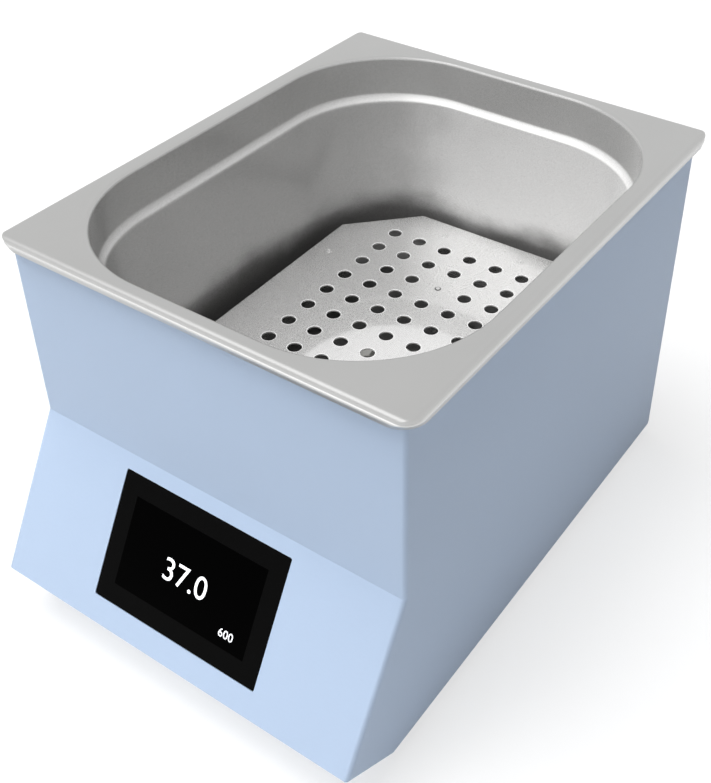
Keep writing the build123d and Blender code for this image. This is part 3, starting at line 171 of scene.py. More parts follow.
class Graph:
    """A material's node tree."""

    def __init__(self, name: str) -> None:
        """Start an empty material.

        Args:
            name: The material's name.
        """
        self.material = bpy.data.materials.new(name)
        self.material.use_nodes = True
        self.tree = self.material.node_tree
        self.tree.nodes.clear()
        self.coordinates = self.node("ShaderNodeTexCoord").outputs["Object"]

    @classmethod
    def of_world(cls, world: bpy.types.World) -> "Graph":
        """Start on a world's emptied tree, which has no coordinates of its own.

        Args:
            world: The world.

        Returns:
            The graph.
        """
        graph = cls.__new__(cls)
        world.use_nodes = True
        graph.tree = world.node_tree
        graph.tree.nodes.clear()
        return graph

    def node(
        self, kind: str, settings: dict | None = None, inputs: dict | None = None
    ) -> bpy.types.ShaderNode:
        """Add a node.

        Args:
            kind: The node's type.
            settings: Its properties.
            inputs: Values, signals or sockets for its inputs, by name or number.

        Returns:
            The node.
        """
        node = self.tree.nodes.new(kind)
        for name, value in (settings or {}).items():
            setattr(node, name, value)
        for name, value in (inputs or {}).items():
            if isinstance(value, Signal):
                value = value.socket
            if isinstance(value, bpy.types.NodeSocket):
                self.tree.links.new(value, node.inputs[name])
            else:
                node.inputs[name].default_value = value
        return node

    def noise(self, size: float, detail: float = 2, stretch: Colour = (1, 1, 1)) -> Signal:
        """Add noise on the piece's own coordinates.

        Args:
            size: How large a patch is, in metres.
            detail: How many finer layers it has.
            stretch: How much longer a patch is along each axis.

        Returns:
            The noise, about 0.5 on average.
        """
        scale = tuple(1 / (size * along) for along in stretch)
        place = self.node("ShaderNodeMapping", {}, {"Vector": self.coordinates, "Scale": scale})
        inputs = {"Vector": place.outputs[0], "Scale": 1.0, "Detail": detail}
        return Signal(self, self.node("ShaderNodeTexNoise", {}, inputs).outputs[0])

    def axes(self) -> tuple[Signal, Signal, Signal]:
        """Split the piece's own coordinates.

        Returns:
            X, Y and Z.
        """
        split = self.node("ShaderNodeSeparateXYZ", {}, {"Vector": self.coordinates})
        return tuple(Signal(self, output) for output in split.outputs)

    def blend(self, share: Signal, first: Colour | Signal, second: Colour | Signal) -> Signal:
        """Mix two colours.

        Args:
            share: How much of the second there is, from 0 to 1.
            first: The colour at 0.
            second: The colour at 1.

        Returns:
            The mixed colour.
        """
        colours = [c if isinstance(c, Signal) else (*c, 1) for c in (first, second)]
        inputs = {0: share, 6: colours[0], 7: colours[1]}
        node = self.node("ShaderNodeMix", {"data_type": "RGBA"}, inputs)
        return Signal(self, node.outputs[2])

    def bump(self, height: Signal, depth: float, strength: float = 1.0) -> Signal:
        """Turn a height into a normal.

        Args:
            height: The relief, from 0 to 1.
            depth: The relief's depth, in metres.
            strength: How much of the relief shows.

        Returns:
            The normal.
        """
        inputs = {"Height": height, "Distance": depth, "Strength": strength}
        return Signal(self, self.node("ShaderNodeBump", {}, inputs).outputs[0])

    def surface(self, inputs: dict) -> bpy.types.Material:
        """Finish the material with a Principled shader.

        Args:
            inputs: What feeds the shader, by the sockets' names.

        Returns:
            The material.
        """
        shader = self.node("ShaderNodeBsdfPrincipled", {}, inputs)
        self.node("ShaderNodeOutputMaterial", {}, {"Surface": shader.outputs[0]})
        return self.material


def shade(colour: Colour, factor: float) -> Colour:
    """Darken or lighten a colour by a factor."""
    return tuple(min(1.0, channel * factor) for channel in colour)


def vary(graph: Graph, share: Signal, colour: Colour, spread: float) -> Signal:
    """Run a colour from darker to lighter by a share.

    Args:
        graph: The material's tree.
        share: 0 for the darkest and 1 for the lightest.
        colour: The colour in the middle.
        spread: How far it goes each way.

    Returns:
        The colour.
    """
    return graph.blend(share, shade(colour, 1 - spread), shade(colour, 1 + spread))


@dataclass(frozen=True)
class Finish:
    """A plain finish: a base colour with soft patches, uneven gloss and a fine relief."""

    name: str
    colour: Colour
    roughness: float
    metallic: float = 0.0
    patch_size: float = 0.03
    patch_spread: float = 0.06
    gloss_spread: float = 0.06
    gloss_edge: Point = (0.3, 0.7)
    relief_size: float = 0.0006
    relief_depth: float = 0.00002
    grain: Colour = (1, 1, 1)

    def extras(self, graph: Graph) -> dict:
        """Inputs that replace or add to the plain ones, by the shader's socket names."""
        return {}

    def material(self) -> bpy.types.Material:
        """Build the material.

        Returns:
            The material, under the finish's name.
        """
        graph = Graph(self.name)
        patches = graph.noise(self.patch_size)
        relief = graph.noise(self.relief_size, stretch=self.grain)
        inputs = {
            "Base Color": vary(graph, patches, self.colour, self.patch_spread),
            "Metallic": self.metallic,
            "Roughness": self.roughness + self.gloss_spread * relief.ramp(*self.gloss_edge),
            "Normal": graph.bump(relief, self.relief_depth),
        }
        inputs.update(self.extras(graph))
        return graph.surface(inputs)


@dataclass(frozen=True)
class PanSteel(Finish):
    """Drawn stainless sheet: a satin flange, and brighter, smoother steel below it."""

    middle: Vector = Vector((0, 0, 0))
    lip_inside: Point = (0.127, 0.158)
    lip_blend: float = 0.0005
    # Painted reflection: the lip's steel is lighter than the flange's, standing in for its sheen.
    lip: Colour = (0.64, 0.64, 0.635)
    lip_sheen_run: Point = (0.2431, 0.2451)
    flange_run: Point = (0.2454, 0.2469)
    flange_spread: float = 0.04
    upper: Colour = (0.48, 0.479, 0.474)
    upper_run: Point = (0.2165, 0.222)
    upper_spread: float = 0.04
    inner: Colour = (0.82, 0.817, 0.812)
    inner_spread: float = 0.07
    # Painted shade: the inner steel is darkened on the left wall, which faces away from the key
    # lamp.
    left_wall_shade: float = 0.62
    left_shade_run: Point = (-0.09, -0.035)
    left_shade_top: Point = (0.2135, 0.2165)
    left_shade_drift: float = 0.06
    # Painted shade: a dark band low in the pan, by the shelf and the floor's edge, where shade
    # falls.
    low_shade: Colour = (0.18, 0.178, 0.175)
    low_shade_run: Point = (0.129, 0.152)
    low_shade_drift: float = 0.0322
    low_shade_spread: float = 0.1
    contrast: float = 0.9
    inner_metal: float = 0.25
    inner_roughness: float = 0.18
    inner_gloss_spread: float = 0.24
    inner_relief: float = 0.2
    wave_size: float = 0.045
    wave_depth: float = 0.0002
    wave_strength: float = 0.5

    def flange_mask(self, x: Signal, y: Signal, height: Signal) -> Signal:
        """Tell the flange from the inside.

        Args:
            x: The place across the pan.
            y: The place along the pan.
            height: The place's height.

        Returns:
            1 on the flange and its lip, 0 below the opening's edge.
        """
        mask = height.ramp(*self.flange_run)
        for along, centre, inside in zip((x, y), self.middle, self.lip_inside):
            outer = abs(along - centre).ramp(inside, inside + self.lip_blend)
            mask = mask.maths("MAXIMUM", mask, outer)
        return mask

    def inside(self, graph: Graph, x: Signal, height: Signal, patches: Signal,
               tone: Signal) -> Signal:
        """The colour below the flange.

        Args:
            graph: The material's tree.
            x: The place across the pan.
            height: The place's height.
            patches: Slow noise that moves the edges of the painted shades.
            tone: Slow noise that varies each colour.

        Returns:
            Bright steel, painted shade on the left and low by the shelf, duller above the
            shoulder.
        """
        drift = patches - 0.5
        # Painted shade: the left wall's colour is darkened, with noisy edges, below the shoulder.
        unshaded = (x + drift * self.left_shade_drift).ramp(*self.left_shade_run)
        unshaded = unshaded.maths("MAXIMUM", unshaded, height.ramp(*self.left_shade_top))
        bright = vary(graph, tone, self.inner, self.inner_spread)
        steel = graph.blend(unshaded, shade(self.inner, self.left_wall_shade), bright)
        upper = vary(graph, tone, self.upper, self.upper_spread)
        steel = graph.blend(height.ramp(*self.upper_run), steel, upper)
        # Painted shade: darkest low down near the shelf, with a noisy top edge.
        low_shade = vary(graph, tone, self.low_shade, self.low_shade_spread)
        edge = height + drift * self.low_shade_drift
        return graph.blend(edge.ramp(*self.low_shade_run), low_shade, steel)

    def extras(self, graph: Graph) -> dict:
        """A flange and a bright inside, with a slow ripple and fine handling marks.

        Args:
            graph: The material's tree.

        Returns:
            The shader's inputs.
        """
        x, y, height = graph.axes()
        flange = self.flange_mask(x, y, height)
        grain = graph.noise(self.relief_size, detail=3)
        patches = graph.noise(self.patch_size, detail=4)
        tone = 0.5 + self.contrast * (patches - 0.5)
        satin = vary(graph, tone, self.colour, self.flange_spread)
        # Painted reflection: a lighter colour down the lip.
        satin = graph.blend(height.ramp(*self.lip_sheen_run), self.lip, satin)
        specks = grain.ramp(*self.gloss_edge)
        dull = self.inner_roughness + self.inner_gloss_spread * specks
        ripple = graph.bump(graph.noise(self.wave_size, detail=1), self.wave_depth,
                            self.wave_strength)
        relief = grain * (self.inner_relief + (1 - self.inner_relief) * flange)
        inputs = {"Height": relief, "Distance": self.relief_depth, "Normal": ripple}
        return {
            "Base Color": graph.blend(flange, self.inside(graph, x, height, patches, tone), satin),
            "Metallic": self.inner_metal + (1 - self.inner_metal) * flange,
            "Roughness": dull + (self.roughness + self.gloss_spread * specks - dull) * flange,
            "Normal": graph.node("ShaderNodeBump", {}, inputs).outputs[0],
        }


@dataclass(frozen=True)
class ShelfSteel(Finish):
    """Bright shelf sheet, with a painted highlight in a thin ring round each punched hole."""

    middle: Vector = Vector((0, 0, 0))
    turn: float = 0.0
    pitch: float = 0.02
    hole: float = 0.005
    columns: int = 1
    rows: int = 1
    post_row: int = 0
    rivet: float = 0.001
    ring: float = 0.0005
    # Painted highlight: a pale, less metallic ring round each hole stands in for the glint on its
    # edge.
    hole_highlight_colour: Colour = (0.97, 0.97, 0.965)
    hole_highlight_metal: float = 0.2
    seam: float = 0.0005
    seam_colour: Colour = (0.1, 0.1, 0.1)

    def extras(self, graph: Graph) -> dict:
        """The rings, on the grid of the holes, and a dark seam round each post's rivet.

        Args:
            graph: The material's tree.

        Returns:
            The shader's inputs.
        """
        inputs = {"Vector": graph.coordinates, "Location": self.middle,
                  "Rotation": (0, 0, self.turn)}
        place = graph.node("ShaderNodeMapping", {"vector_type": "TEXTURE"}, inputs)
        split = graph.node("ShaderNodeSeparateXYZ", {}, {"Vector": place.outputs[0]})
        far = 0.0
        beyond = 0.0
        off_post = 0.0
        half = self.pitch / 2
        spots = zip(split.outputs[:2], (self.columns, self.rows), (0, self.post_row))
        for output, count, post in spots:
            along = Signal(graph, output)
            offset = along.maths("WRAP", along, half, -half)
            far = offset * offset + far
            beyond = abs(along).ramp(half * count - self.ring, half * count) + beyond
            gap = abs(abs(along) - post * self.pitch)
            off_post = gap.ramp(half - self.ring, half) + off_post
        off_post = off_post.maths("MINIMUM", off_post, 1.0)
        distance = far.maths("SQRT", far)
        # Painted highlight mask: 1 in a thin ring round each hole, 0 off the grid and over the
        # posts.
        ring = 1 - distance.ramp(self.hole + self.ring / 2, self.hole + self.ring)
        ring = ring.maths("SUBTRACT", ring, beyond, clamp=True) * off_post
        seam = abs(distance - self.rivet).ramp(self.seam / 2, self.seam)
        seam = seam.maths("MAXIMUM", seam, off_post)
        plain = vary(graph, graph.noise(self.patch_size), self.colour, self.patch_spread)
        highlighted = graph.blend(ring, plain, self.hole_highlight_colour)
        return {
            "Base Color": graph.blend(seam, self.seam_colour, highlighted),
            "Metallic": self.metallic - (self.metallic - self.hole_highlight_metal) * ring,
        }


@dataclass(frozen=True)
class CasePaint(Finish):
    """Satin powder coat with a fine orange peel."""

    peel_size: float = 0.0022
    peel_depth: float = 0.00005
    coat: float = 0.08
    coat_roughness: float = 0.25
    specular: float = 0.25

    def extras(self, graph: Graph) -> dict:
        """A second, wider relief under a thin clear coat.

        Args:
            graph: The material's tree.

        Returns:
            The shader's inputs.
        """
        peel = graph.noise(self.peel_size, detail=3)
        return {"Normal": graph.bump(peel, self.peel_depth), "Coat Weight": self.coat,
                "Coat Roughness": self.coat_roughness, "Specular IOR Level": self.specular}


@dataclass(frozen=True)
class DisplayGlass(Finish):
    """Black glass. The lit area behind it is a touch darker than its printed border."""

    centre: Vector = Vector((0, 0, 0))
    down: Vector = Vector((0, 0, -1))
    lit_size: Point = (0.095, 0.054)
    lit_colour: Colour = (0.00005, 0.00005, 0.00006)
    lit_blend: float = 0.0002
    specular: float = 0.012

    def extras(self, graph: Graph) -> dict:
        """A mask of the lit area, measured across and down the slope from its centre.

        Args:
            graph: The material's tree.

        Returns:
            The shader's inputs.
        """
        x, y, z = graph.axes()
        across = abs(x - self.centre.x)
        fall = (y - self.centre.y) * self.down.y + (z - self.centre.z) * self.down.z
        sides = (
            away.ramp(size / 2, size / 2 + self.lit_blend)
            for away, size in zip((across, abs(fall)), self.lit_size)
        )
        border = across.maths("MAXIMUM", *sides)
        return {
            "Base Color": graph.blend(border, self.lit_colour, self.colour),
            "Specular IOR Level": self.specular,
        }


@dataclass(frozen=True)
class LitSegment(Finish):
    """A lit part of the readout."""

    glow: float = 0.85

    def extras(self, graph: Graph) -> dict:
        """A plain white glow."""
        return {"Emission Color": (*self.colour, 1), "Emission Strength": self.glow}


@dataclass(frozen=True)
class BoardMask(Finish):
    """Green solder mask over a weave of copper tracks."""

    track_pitch: float = 0.0025
    track_edge: Point = (0.4, 0.46)
    track_shade: float = 1.5
    coat: float = 0.4

    def extras(self, graph: Graph) -> dict:
        """Tracks as square cells of a slightly lighter green.

        Args:
            graph: The material's tree.

        Returns:
            The shader's inputs.
        """
        inputs = {"Vector": graph.coordinates, "Scale": 1 / self.track_pitch}
        cells = graph.node("ShaderNodeTexVoronoi", {"distance": "CHEBYCHEV"}, inputs)
        tracks = Signal(graph, cells.outputs["Distance"]).ramp(*self.track_edge)
        colour = graph.blend(tracks, self.colour, shade(self.colour, self.track_shade))
        return {"Base Color": colour, "Coat Weight": self.coat}


@dataclass(frozen=True)
class ClearGlass(Finish):
    """Clear fuse glass."""

    clear: float = 0.9
    index: float = 1.5

    def extras(self, graph: Graph) -> dict:
        """Light passes through."""
        return {"Transmission Weight": self.clear, "IOR": self.index}


@dataclass
class Finishes:
    """Every finish of the bath, by the record's slot, each built once."""

    slots: dict[str, bpy.types.Material] = field(default_factory=dict)

    def build(self, pan_centre: Vector, shelf: "Shelf", display_centre: Vector,
              slope_down: Vector) -> None:
        """Build the materials.

        Args:
            pan_centre: The middle of the pan.
            shelf: The shelf, whose holes have a ring in its finish.
            display_centre: The middle of the display glass.
            slope_down: The direction down the slope.
        """
        bright = {"metallic": 0.82, "patch_size": 0.04, "patch_spread": 0.04,
                  "gloss_spread": 0.34, "gloss_edge": (0.45, 0.55), "relief_size": 0.0004,
                  "relief_depth": 0.000002}
        finishes = {
            "stainless": PanSteel("pan_steel", (0.5, 0.5, 0.495), 0.34, 1.0, 0.05,
                                  gloss_edge=(0.45, 0.55), relief_size=0.0003,
                                  relief_depth=0.000008, middle=pan_centre),
            "bright_steel": Finish("bright_steel", (0.8, 0.797, 0.793), 0.045, **bright),
            "shelf_steel": ShelfSteel("shelf_steel", (0.8, 0.797, 0.793), 0.045, **bright,
                                      middle=shelf.place().translation, turn=shelf.turn,
                                      pitch=shelf.pitch, hole=shelf.hole,
                                      columns=shelf.columns, rows=shelf.rows,
                                      post_row=shelf.post_row, rivet=shelf.rivet),
            "zinc_steel": Finish("zinc_plate", (0.66, 0.67, 0.68), 0.26, 1.0),
            "case_paint": CasePaint("blue_powder_coat", (0.472, 0.587, 0.764), 0.42,
                                    patch_size=0.12, patch_spread=0.015),
            "display_glass": DisplayGlass("display_glass", (0.0036, 0.0036, 0.0036), 0.08,
                                          relief_depth=0.000001, centre=display_centre,
                                          down=slope_down),
            "seal_rubber": Finish("grey_seal", (0.06, 0.06, 0.06), 0.75),
            "foot_rubber": Finish("black_rubber", (0.012, 0.012, 0.012), 0.7),
            "silicone": Finish("red_silicone", (0.42, 0.07, 0.03), 0.6),
            "blanket": Finish("felted_blanket", (0.66, 0.62, 0.5), 0.95, relief_size=0.0012,
                              relief_depth=0.0004),
            "white_plastic": Finish("white_plastic", (0.78, 0.78, 0.75), 0.45),
            "black_plastic": Finish("black_plastic", (0.018, 0.018, 0.019), 0.5,
                                    relief_size=0.0005, relief_depth=0.00004),
            "circuit_board": BoardMask("solder_mask", (0.012, 0.11, 0.04), 0.35),
            "magnet": Finish("nickel_plate", (0.62, 0.6, 0.56), 0.2, 1.0),
            "aluminium": Finish("mill_aluminium", (0.7, 0.71, 0.72), 0.35, 1.0,
                                grain=(8, 1, 1)),
            "motor_steel": Finish("drawn_can", (0.45, 0.45, 0.46), 0.32, 1.0, grain=(1, 1, 12)),
            "brass": Finish("turned_brass", (0.72, 0.5, 0.2), 0.3, 1.0),
            "fuse_glass": ClearGlass("fuse_glass", (0.9, 0.92, 0.92), 0.05,
                                     relief_depth=0.000001),
            "lead_sheath": Finish("grey_sheath", (0.27, 0.27, 0.27), 0.55),
            "lit_segment": LitSegment("lit_segment", (0.85, 0.87, 0.9), 0.5),
        }
        for slot, finish in finishes.items():
            self.slots[slot] = finish.material()

    def dress(self, piece: bpy.types.Object, slot: str) -> None:
        """Give a whole piece one finish.

        Args:
            piece: The piece.
            slot: The finish's slot.
        """
        piece.data.materials.clear()
        piece.data.materials.append(self.slots[slot])


def bent_path(points: list[Point], radii: list[float], steps: int) -> list[Point]:
    """Round the inner corners of a line.

    Args:
        points: The line's corners.
        radii: The bend at each inner corner.
        steps: How many runs each bend has.

    Returns:
        The line's points, with each bend as an arc.
    """
    path = [points[0]]
    for before, corner, after, radius in zip(points, points[1:], points[2:], radii):
        back = (Vector(before) - Vector(corner)).normalized()
        ahead = (Vector(after) - Vector(corner)).normalized()
        half = back.angle(ahead) / 2
        centre = Vector(corner) + (back + ahead).normalized() * radius / math.sin(half)
        start = Vector(corner) + back * radius / math.tan(half) - centre
        end = Vector(corner) + ahead * radius / math.tan(half) - centre
        turn = start.angle_signed(end)
        for step in range(steps + 1):
            arm = start.copy()
            arm.rotate(Matrix.Rotation(-turn * step / steps, 2))
            path.append(tuple(centre + arm))
    path.append(points[-1])
    return path


def rounded_ring(half_x: float, half_y: float, corner: float, steps: int) -> list[Point]:
    """Points round a rectangle with round corners, anticlockwise.

    Args:
        half_x: Half its width.
        half_y: Half its length.
        corner: Its corners' radius.
        steps: How many runs each corner has.

    Returns:
        The points, the same number for any size.
    """
    ring = []
    for quarter in range(4):
        side_x = 1 if quarter in (0, 3) else -1
        side_y = 1 if quarter in (0, 1) else -1
        for step in range(steps + 1):
            angle = math.pi / 2 * (quarter + step / steps)
            ring.append((
                side_x * (half_x - corner) + corner * math.cos(angle),
                side_y * (half_y - corner) + corner * math.sin(angle),
            ))
    return ring


def loft_faces(count: int, rings: int) -> list[tuple[int, ...]]:
    """Join rings of points by faces, and close the last ring.

    Args:
        count: How many points each ring has.
        rings: How many rings there are.

    Returns:
        The faces, as the numbers of their points.
    """
    last = count * (rings - 1)
    faces = [
        (row + step, row + (step + 1) % count, row + count + (step + 1) % count,
         row + count + step)
        for row in range(0, last, count) for step in range(count)
    ]
    return [*faces, tuple(range(last, last + count))]


def new_piece(name: str, points: list[Vector], faces: list[tuple], smooth: float | None = 0.6,
              ) -> bpy.types.Object:
    """Make a mesh piece from points and faces.

    Args:
        name: The piece's name.
        points: Its vertices.
        faces: Vertex numbers of each face, seen anticlockwise from outside.
        smooth: Edges sharper than this angle stay sharp. None keeps flat faces.

    Returns:
        The object, linked to the scene.
    """
    mesh = bpy.data.meshes.new(name)
    mesh.from_pydata(points, [], faces)
    piece = bpy.data.objects.new(name, mesh)
    bpy.context.scene.collection.objects.link(piece)
    if smooth is not None:
        mesh.shade_smooth()
        mesh.set_sharp_from_angle(angle=smooth)
    return piece


def settle(piece: bpy.types.Object) -> bpy.types.Object:
    """Turn a piece with live modifiers into a plain mesh and drop the modifiers.

    Args:
        piece: The piece.

    Returns:
        The same piece.
    """
    bpy.context.view_layer.update()
    graph = bpy.context.evaluated_depsgraph_get()
    mesh = bpy.data.meshes.new_from_object(piece.evaluated_get(graph))
    piece.modifiers.clear()
    piece.data = mesh
    return piece


class Modeller:
    """A Geometry Nodes tree under construction."""

    def __init__(self, name: str, sizes: dict[str, float]) -> None:
        """Start a tree with named size inputs.

        Args:
            name: The tree's name.
            sizes: The inputs' names and values.
        """
        self.tree = bpy.data.node_groups.new(name, "GeometryNodeTree")
        face = self.tree.interface
        face.new_socket("Geometry", in_out="INPUT", socket_type="NodeSocketGeometry")
        face.new_socket("Geometry", in_out="OUTPUT", socket_type="NodeSocketGeometry")
        self.values = {}
        for size, value in sizes.items():
            kind = "NodeSocketInt" if isinstance(value, int) else "NodeSocketFloat"
            socket = face.new_socket(size, in_out="INPUT", socket_type=kind)
            self.values[socket.identifier] = value
        self.inputs = self.tree.nodes.new("NodeGroupInput")

    def node(self, kind: str, settings: dict | None = None, inputs: dict | None = None
             ) -> bpy.types.GeometryNode:
        """Add a node.

        Args:
            kind: The node's type.
            settings: Its properties.
            inputs: Values or sockets for its inputs. A list feeds one input from many.

        Returns:
            The node.
        """
        node = self.tree.nodes.new(kind)
        for name, value in (settings or {}).items():
            setattr(node, name, value)
        for name, value in (inputs or {}).items():
            for source in value if isinstance(value, list) else [value]:
                if isinstance(source, bpy.types.NodeSocket):
                    self.tree.links.new(source, node.inputs[name])
                else:
                    node.inputs[name].default_value = source
        return node

    def join(self, *shapes: bpy.types.Node) -> bpy.types.NodeSocket:
        """Join shapes.

        Args:
            shapes: The nodes whose first results are joined, in order.

        Returns:
            The socket of the joined shape.
        """
        parts = [shape.outputs[0] for shape in shapes]
        return self.node("GeometryNodeJoinGeometry", {}, {0: parts}).outputs[0]

    def circle(self, steps: int | bpy.types.NodeSocket, radius: float | bpy.types.NodeSocket
               ) -> bpy.types.GeometryNode:
        """Add a circle.

        Args:
            steps: How many runs it has.
            radius: Its radius.

        Returns:
            The node.
        """
        inputs = {"Resolution": steps, "Radius": radius}
        return self.node("GeometryNodeCurvePrimitiveCircle", {}, inputs)

    def maths(self, operation: str, *values: float | bpy.types.NodeSocket
              ) -> bpy.types.NodeSocket:
        """Add a Math node.

        Args:
            operation: The node's operation.
            values: What feeds its inputs, in order.

        Returns:
            The socket of its result.
        """
        made = self.node("ShaderNodeMath", {"operation": operation}, dict(enumerate(values)))
        return made.outputs[0]

    def size(self, name: str) -> bpy.types.NodeSocket:
        """The socket of a named size."""
        return self.inputs.outputs[name]

    def run(self, piece: bpy.types.Object, result: bpy.types.NodeSocket,
            material: bpy.types.Material) -> bpy.types.Object:
        """End the tree, run it on a piece and keep the plain mesh.

        Args:
            piece: The object whose geometry goes in.
            result: The socket of the last shape.
            material: The finish that the tree sets.

        Returns:
            The piece.
        """
        real = self.node("GeometryNodeRealizeInstances", {}, {"Geometry": result})
        inputs = {"Geometry": real.outputs[0], "Material": material}
        dressed = self.node("GeometryNodeSetMaterial", {}, inputs)
        out = self.tree.nodes.new("NodeGroupOutput")
        self.tree.links.new(dressed.outputs[0], out.inputs[0])
        modifier = piece.modifiers.new(self.tree.name, "NODES")
        modifier.node_group = self.tree
        for identifier, value in self.values.items():
            modifier[identifier] = value
        settle(piece)
        bpy.data.node_groups.remove(self.tree)
        return piece


@dataclass
class Pan:
    """The drawn pan with its flange, shoulder and round floor edge."""

    finishes: Finishes
    sheet: float = 0.001
    corner: float = 0.0045
    lip_corner: float = 0.0135
    flange_bend: float = 0.003
    lip_height: float = 0.007
    bead_out: float = 0.0005
    bead_depth: float = 0.0039
    groove_depth: float = 0.0034
    curl: float = 0.0002
    rim_side: float = 0.0115
    rim_end: float = 0.0095
    rim_bend: float = 0.0025
    opening_corner: float = 0.08
    shoulder_depth: float = 0.027
    shoulder_step: float = 0.0035
    shoulder_drop: float = 0.004
    shoulder_bend: float = 0.0025
    rim_run: float = 0.001
    wall_draft: float = math.radians(4)
    floor_bend: float = 0.022
    floor_run: float = 0.002
    corner_steps: int = 28
    bend_steps: int = 8

    def outside(self) -> list[Point]:
        """Draw the flange's section.

        Returns:
            Points as distance out from the flange's edge and height.
        """
        return bent_path(
            [(self.bead_out - self.curl, -self.lip_height), (self.bead_out, -self.bead_depth),
             (0, -self.groove_depth), (0, 0), (-2 * self.flange_bend, 0)],
            [self.bead_out, self.bead_out / 2, self.flange_bend], self.bend_steps)[:-1]

    def outer_corner(self, height: float) -> float:
        """The flange's corner radius at a height: small on top, rounder down the lip."""
        return self.corner + (self.lip_corner - self.corner) * -height / self.lip_height

    def inside(self, depth: float) -> list[Point]:
        """Draw the water side's section.

        Args:
            depth: The pan's whole depth.

        Returns:
            Points as distance in from the opening's edge and height.
        """
        drop = self.shoulder_depth + self.shoulder_drop
        wall = self.shoulder_step + (depth - self.sheet - drop) * math.tan(self.wall_draft)
        flat = wall + self.floor_bend + self.floor_run
        floor = self.sheet - depth
        return bent_path(
            [(-self.rim_bend - self.rim_run, 0), (0, 0), (0, -self.shoulder_depth),
             (self.shoulder_step, -drop), (wall, floor), (flat, floor)],
            [self.rim_bend, self.shoulder_bend, self.shoulder_bend, self.floor_bend],
            self.bend_steps)

    def build(self) -> bpy.types.Object:
        """Loft the sections round the flange and the opening.

        Returns:
            The pan.
        """
        low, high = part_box("tank")
        middle = (low + high) / 2
        half_x = (high.x - low.x) / 2 - self.bead_out
        half_y = (high.y - low.y) / 2 - self.bead_out
        open_x, open_y = half_x - self.rim_side, half_y - self.rim_end
        sections = [(half_x + out, half_y + out, self.outer_corner(height) + out, height)
                    for out, height in self.outside()]
        sections += [(open_x - inward, open_y - inward, self.opening_corner - inward, height)
                     for inward, height in self.inside(high.z - low.z)]
        points = [
            Vector((middle.x + x, middle.y + y, high.z + height))
            for wide, long, corner, height in sections
            for x, y in rounded_ring(wide, long, corner, self.corner_steps)
        ]
        faces = loft_faces(len(points) // len(sections), len(sections))
        piece = new_piece("drawn_pan", points, faces)
        self.finishes.dress(piece, "stainless")
        wall = piece.modifiers.new("sheet", "SOLIDIFY")
        wall.thickness = self.sheet
        wall.offset = -1
        wall.use_even_offset = True
        settle(piece)
        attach(piece, Body.BATH.value)
        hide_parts("tank")
        return piece


